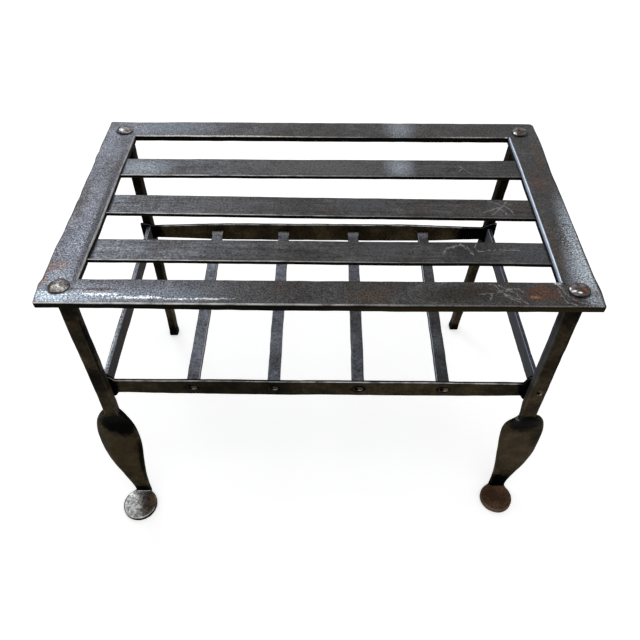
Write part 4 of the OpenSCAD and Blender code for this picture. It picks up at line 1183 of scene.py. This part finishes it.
def leg_depth(z, kick, neck_t):
    """Front face of a leg and its thickness at height z."""
    if z > HOLLOW:
        face = mix(-BAR_D / 2, HOLLOW_D - BAR_D / 2, ease((NECK - z) / (NECK - HOLLOW)))
        if z > NECK:
            return face, mix(BAR_D, neck_t, ease((NECK + THINNING - z) / THINNING))
        return face, mix(neck_t, LEAF_T, ease((NECK - z) / (NECK - HOLLOW)))
    share = ease((HOLLOW - z) / (HOLLOW - INSTEP))
    return mix(HOLLOW_D - BAR_D / 2, -BAR_D / 2 - kick, share), mix(LEAF_T, ANKLE_T, share)


def penny_foot(name, d, x0, x1):
    """Round foot with a soft rim, spreading from an ankle between x0 and x1 behind it."""
    outline = []
    reach = d / 2 + FOOT_FILLET
    for side in (x1, x0):
        sign = 1 if side > 0 else -1
        centre = Vector((side + sign * FOOT_FILLET, 0.0))
        centre.y = math.sqrt(reach ** 2 - centre.x ** 2)
        touch = math.atan2(-centre.y, -centre.x)
        stop = math.pi if sign > 0 else 0.0
        touch = touch % (2 * math.pi) if sign > 0 else touch
        bend = [centre + FOOT_FILLET * Vector((math.cos(a), math.sin(a)))
                for a in (mix(stop, touch, i / 8) for i in range(9))]
        outline.append(bend)
    right_touch, left_touch = outline[0][-1], outline[1][-1]
    a0 = math.atan2(right_touch.y, right_touch.x)
    a1 = math.atan2(left_touch.y, left_touch.x) - 2 * math.pi
    rim = [Vector((math.cos(a), math.sin(a))) * d / 2 for a in (mix(a0, a1, i / 72) for i in range(1, 72))]
    edge = outline[0] + rim + outline[1][::-1]
    rings = []
    for shrink, z in [(FOOT_ROUND / 2, 0.0), (0.0, FOOT_ROUND / 2)] + [
            (FOOT_ROUND * (1 - math.cos(a)), FOOT_T - FOOT_ROUND + FOOT_ROUND * math.sin(a))
            for a in np.linspace(0, math.pi / 2, 6)]:
        rings.append([(p.x * (1 - shrink / (d / 2)), p.y * (1 - shrink / (d / 2)), z) for p in edge])
    return loft(name, rings)


def melt(piece, other):
    """Join two closed meshes into one skin with soft inner corners."""
    work = bmesh.new()
    work.from_mesh(piece.data)
    work.from_mesh(other.data)
    work.to_mesh(piece.data)
    work.free()
    bpy.data.objects.remove(other)
    remesh = piece.modifiers.new("melt", "REMESH")
    remesh.mode = "VOXEL"
    remesh.voxel_size = MELT_VOXEL
    soft = piece.modifiers.new("soft", "SMOOTH")
    soft.factor = 0.5
    soft.iterations = 3
    settle(piece)


def front_leg(name, out, outer, inner, leaf_inner, ankle_w, ankle_in, kick, foot_d, foot_in, reach, neck_t,
              foot_iron, seed, bar_w):
    """A front leg: bar, leaf and ankle as one loft, melted together with its foot."""
    axis_x = out * FRONT_LEG_X
    ankle_low, ankle_high = (ankle_in - ankle_w / 2) * MM, (ankle_in + ankle_w / 2) * MM
    heights = [NECK * (1 - (1 - i / LEAF_STEPS) ** LEAF_CROWDING) for i in range(LEAF_STEPS + 1)]
    heights += [mix(NECK, under_z, i / BAR_STEPS) for i in range(1, BAR_STEPS + 1)]
    rings = []
    for z in heights:
        face, thick = leg_depth(z, kick * MM, neck_t * MM)
        wide = ease(2 * (NECK - z) / NECK) * ease(2 * z / NECK)
        bevel = mix(BAR_BEVEL, LEAF_BEVEL, wide)
        section = plate_section(-leaf_edge(z, bar_w / 2 * MM, LEAF_OUTER, -ankle_low, outer),
                                leaf_edge(z, bar_w / 2 * MM, leaf_inner * MM, ankle_high, inner),
                                face, face + thick, bevel, max(0.2 * MM, bevel * BEVEL_SLOPE), LEG_EDGE)
        rings.append([(axis_x - out * x, front_axis + y, z) for x, y in section])
    leg = loft(name, rings)
    foot = penny_foot("foot", foot_d * MM, ankle_low - foot_in * MM, ankle_high - foot_in * MM)
    foot_y = front_axis - BAR_D / 2 - (kick + reach) * MM
    for v in foot.data.vertices:
        v.co = (axis_x - out * (v.co.x + foot_in * MM), v.co.y + foot_y, v.co.z)
    melt(leg, foot)
    forge(leg, hammer_tree, Seed=seed, Wander=0.0005, Reach=0.05, Dent=0.0005, Facet=0.013,
          Material=leg_iron)
    leg.data.materials.append(foot_iron)
    ankle_front = front_axis - BAR_D / 2 - kick * MM - 0.3 * MM
    for face in leg.data.polygons:
        if face.center.z < FOOT_T + 0.6 * MM and face.center.y < ankle_front:
            face.material_index = 1
    hand_over(leg, "brown_black_iron", name)


for name, values in FRONT_LEGS.items():
    front_leg(name, **values)

# %% Back legs
BACK_W, BEND_Z, TOE_Z, TOE_ROUND = 11.5 * MM, 170 * MM, 14 * MM, 2.2 * MM
TOE_SPREAD, BACK_STEPS, BACK_LEG_X = 0.5 * MM, 160, 211
# how far each foot stands off the leg's top, along X and Y, in millimetres
for name, top_x, dx, dy, seed in (("leg_back_left", -BACK_LEG_X, 0, -5, 45.0),
                                  ("leg_back_right", BACK_LEG_X, -19, 10, 47.0)):
    rings = []
    for z in [0.0, 0.5 * MM, 1.2 * MM] + [under_z * i / BACK_STEPS for i in range(1, BACK_STEPS + 1)]:
        toe_turn = 1 - min(1.0, z / TOE_ROUND)
        half = BACK_W / 2 + TOE_SPREAD * (1 - ease(z / TOE_Z))
        half -= TOE_ROUND * (1 - math.sqrt(1 - toe_turn ** 2))
        x = (top_x + dx * (1 - z / under_z)) * MM
        y = back_axis + dy * MM * max(0.0, 1 - z / BEND_Z)
        section = plate_section(-half, half, -half, half, 1.2 * MM, 0.35 * MM, 1.2 * MM, columns=8)
        rings.append([(x + px, y + py, z) for px, py in section])
    leg = loft(name, rings)
    forge(leg, hammer_tree, Seed=seed, Wander=0.0006, Reach=0.05, Dent=0.0005, Facet=0.012,
          Material=leg_iron)
    hand_over(leg, "brown_black_iron", name)

# %% Long strips
FLARE_DOWN, BELLY_RUN, STRIP_STEPS, STRIP_CROWDING = 6 * MM, 120 * MM, 300, 0.35


def strip_edge(x, ends, rises, flat, run):
    """How far a strip's edge stands off its straight line at x, flared towards both ends."""
    off = 0.0
    for end, rise in zip(ends, rises):
        inward = abs(x - end) - flat
        off = max(off, rise * (1 - ease(inward / run)))
    return off


def long_strip(name, y0, y1, level, high, rises, flat, run, belly, seed):
    """Front or back strip on edge, flared at its ends and swelling a little in the middle.

    Its place and level are in metres. The sizes that follow are in millimetres.
    """
    ends = [corner.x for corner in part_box(name)]
    rings = []
    for i in range(STRIP_STEPS + 1):
        share = i / STRIP_STEPS
        x = mix(*ends, ease(share) * STRIP_CROWDING + share * (1 - STRIP_CROWDING))
        swell = ease(min(x - ends[0], ends[1] - x) / BELLY_RUN) * MM
        up = strip_edge(x, ends, [r * MM for r in rises], flat * MM, run * MM)
        down = strip_edge(x, ends, [FLARE_DOWN] * 2, flat * MM, run * MM)
        top = level + max(swell * belly[0], up)
        foot = level - high * MM - max(swell * belly[1], down)
        section = plate_section(foot, top, y0, y1, 1.0 * MM, 0.2 * MM, 0.8 * MM, columns=14)
        rings.append([(x, py, pz) for pz, py in section])
    strip = loft(name, rings)
    forge(strip, hammer_tree, Seed=seed, Wander=0.0006, Reach=0.06, Dent=0.0005, Material=strip_iron)
    hand_over(strip, "brown_black_iron", name)


STRIP_T, FRONT_LEVEL = 3 * MM, 192 * MM
long_strip("shelf_front_strip", front_strip[0].y, front_strip[0].y + STRIP_T, FRONT_LEVEL, high=19.5,
           rises=(5, 11), flat=14.5, run=5.5, belly=(0.9, 1.6), seed=51.0)
long_strip("shelf_back_strip", back_strip[1].y - STRIP_T, back_strip[1].y, shelf_top, high=17.5,
           rises=(3.5, 7), flat=3, run=17, belly=(3.7, 3.2), seed=53.0)

# %% Rivet heads and peened ends
def lumps(name, slot, spots, **values):
    """Hammered lumps at points, each with its own way to face and its own stretch."""
    mesh = bpy.data.meshes.new(name)
    mesh.from_pydata([spot[0] for spot in spots], [], [])
    for label, column in (("facing", 1), ("stretch", 2)):
        layer = mesh.attributes.new(label, "FLOAT_VECTOR", "POINT")
        layer.data.foreach_set("vector", [v for spot in spots for v in spot[column]])
    hand_over(forge(new_piece(name, mesh), head_tree, **values), slot)


HEAD_TURNS = [(0.4, (1.0, 0.95, 0.9)), (1.9, (0.88, 0.99, 0.75)), (3.1, (0.93, 0.95, 0.85)),
              (4.4, (0.90, 0.88, 0.85))]
heads = [((x * MM, y * MM, top_z), (0.0, 0.0, spin), stretch)
         for (x, y), (spin, stretch) in zip(HEAD_PLACES, HEAD_TURNS)]
lumps("rivet_heads", "bright_worn_iron", heads, Material=head_iron, Half=(9 * MM, 9 * MM, 3.2 * MM),
      Squareness=1.0, Segments=56, Seed=61.0, Wander=0.0005, Reach=0.012, Dent=0.0012, Facet=0.006)

FRONTWARD, BACKWARD = (math.pi / 2, 0.0, 0.0), (-math.pi / 2, 0.0, 0.0)
LYING, STANDING = (1.0, 1.0, 1.0), (0.54, 1.66, 1.0)
FRONT_PEEN_Z, SIDE_PEEN_Z = 182.25 * MM, 190 * MM
FRONT_TENON_X, BACK_TENON_X = 214 * MM, (-210 * MM, 203.3 * MM)
peens = []
for node in CROSSBARS:
    low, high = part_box(node)
    x = (low.x + high.x) / 2
    peens.append(((x, front_strip[0].y, FRONT_PEEN_Z), FRONTWARD, LYING))
    peens.append(((x, back_strip[1].y, FRONT_PEEN_Z + CLIMB), BACKWARD, LYING))
peens.append(((FRONT_TENON_X, front_axis - BAR_D / 2, SIDE_PEEN_Z), FRONTWARD, STANDING))
for x in BACK_TENON_X:
    peens.append(((x, back_axis + BACK_W / 2, SIDE_PEEN_Z), BACKWARD, STANDING))
lumps("peened_ends", "dark_shelf_iron", peens, Material=peen_iron, Half=(4.9 * MM, 2.65 * MM, 1.2 * MM),
      Squareness=0.6, Segments=32, Seed=63.0, Wander=0.0003, Reach=0.008, Dent=0.0005, Facet=0.004)

# %% [markdown]
# The stage is a plain pale floor. It turns white for the camera and for reflections, and keeps the
# soft shadow of the trivet.

# %% Floor and light
FLOOR_HALF = 4.0


def seen(tree):
    """1 for the rays of the camera and of reflections, and 0 for the rays of light."""
    rays = add(tree, "ShaderNodeLightPath").outputs
    return calc(tree, "ADD", rays["Is Camera Ray"],
                calc(tree, "ADD", rays["Is Glossy Ray"], rays["Is Transmission Ray"]), clamp=True)


def stage_floor():
    """A wide pale floor that shows white, with soft shadows."""
    corners = [(x * FLOOR_HALF, y * FLOOR_HALF, 0.0) for x, y in ((-1, -1), (1, -1), (1, 1), (-1, 1))]
    floor = new_piece("floor", mesh_from("floor", corners, [(0, 1, 2, 3)]))
    material, tree = new_material("floor")
    matt = add(tree, "ShaderNodeBsdfDiffuse", {"Color": (0.85, 0.85, 0.85, 1.0)}).outputs[0]
    glow = add(tree, "ShaderNodeEmission", {"Strength": times(tree, seen(tree), 0.52)}).outputs[0]
    both = add(tree, "ShaderNodeAddShader", {0: matt, 1: glow}).outputs[0]
    add(tree, "ShaderNodeOutputMaterial", {"Surface": both})
    floor.data.materials.append(material)


def stage_world():
    """White for what sees the sky, and a plain grey for the light that it gives."""
    world = bpy.data.worlds.new("studio")
    world.use_nodes = True
    tree = world.node_tree
    tree.nodes.clear()
    sky = add(tree, "ShaderNodeBackground", {
        "Color": (1.0, 1.0, 1.0, 1.0), "Strength": spread(tree, seen(tree), 0.55, 1.0)})
    add(tree, "ShaderNodeOutputWorld", {"Surface": sky.outputs[0]})
    bpy.context.scene.world = world


def area_lamp(name, place, aim, size, power, colour):
    """A soft square lamp that looks at a point."""
    lamp = bpy.data.lights.new(name, "AREA")
    lamp.shape = "SQUARE"
    lamp.size = size
    lamp.energy = power
    lamp.color = colour
    holder = bpy.data.objects.new(name, lamp)
    holder.visible_camera = False
    bpy.context.scene.collection.objects.link(holder)
    look = (Vector(aim) - Vector(place)).to_track_quat("-Z", "Y")
    holder.matrix_world = Matrix.Translation(place) @ look.to_matrix().to_4x4()


stage_floor()
stage_world()
middle = (0.0, 0.0, 0.2)
area_lamp("window", (-0.95, 1.45, 1.65), middle, 0.7, 6.0, (0.90, 0.95, 1.0))
area_lamp("overhead", (0.3, -0.3, 2.0), middle, 1.2, 5.0, (1.0, 1.0, 1.0))

# %% Camera
camera_data = bpy.data.cameras.new("camera")
camera_data.sensor_width = 36.0
camera_data.lens = 36.06
camera = bpy.data.objects.new("camera", camera_data)
bpy.context.scene.collection.objects.link(camera)
right = Vector((0.99995, 0.01007, 0.00061)).normalized()
up = Vector((-0.00786, 0.74040, 0.67212)).normalized()
forward = up.cross(right)
up = right.cross(forward)
turn = Matrix((right, up, -forward)).transposed()
camera.matrix_world = Matrix.Translation((4.3 * MM, -475.7 * MM, 698.3 * MM)) @ turn.to_4x4()
bpy.context.scene.camera = camera
bpy.context.scene.view_settings.view_transform = "Standard"
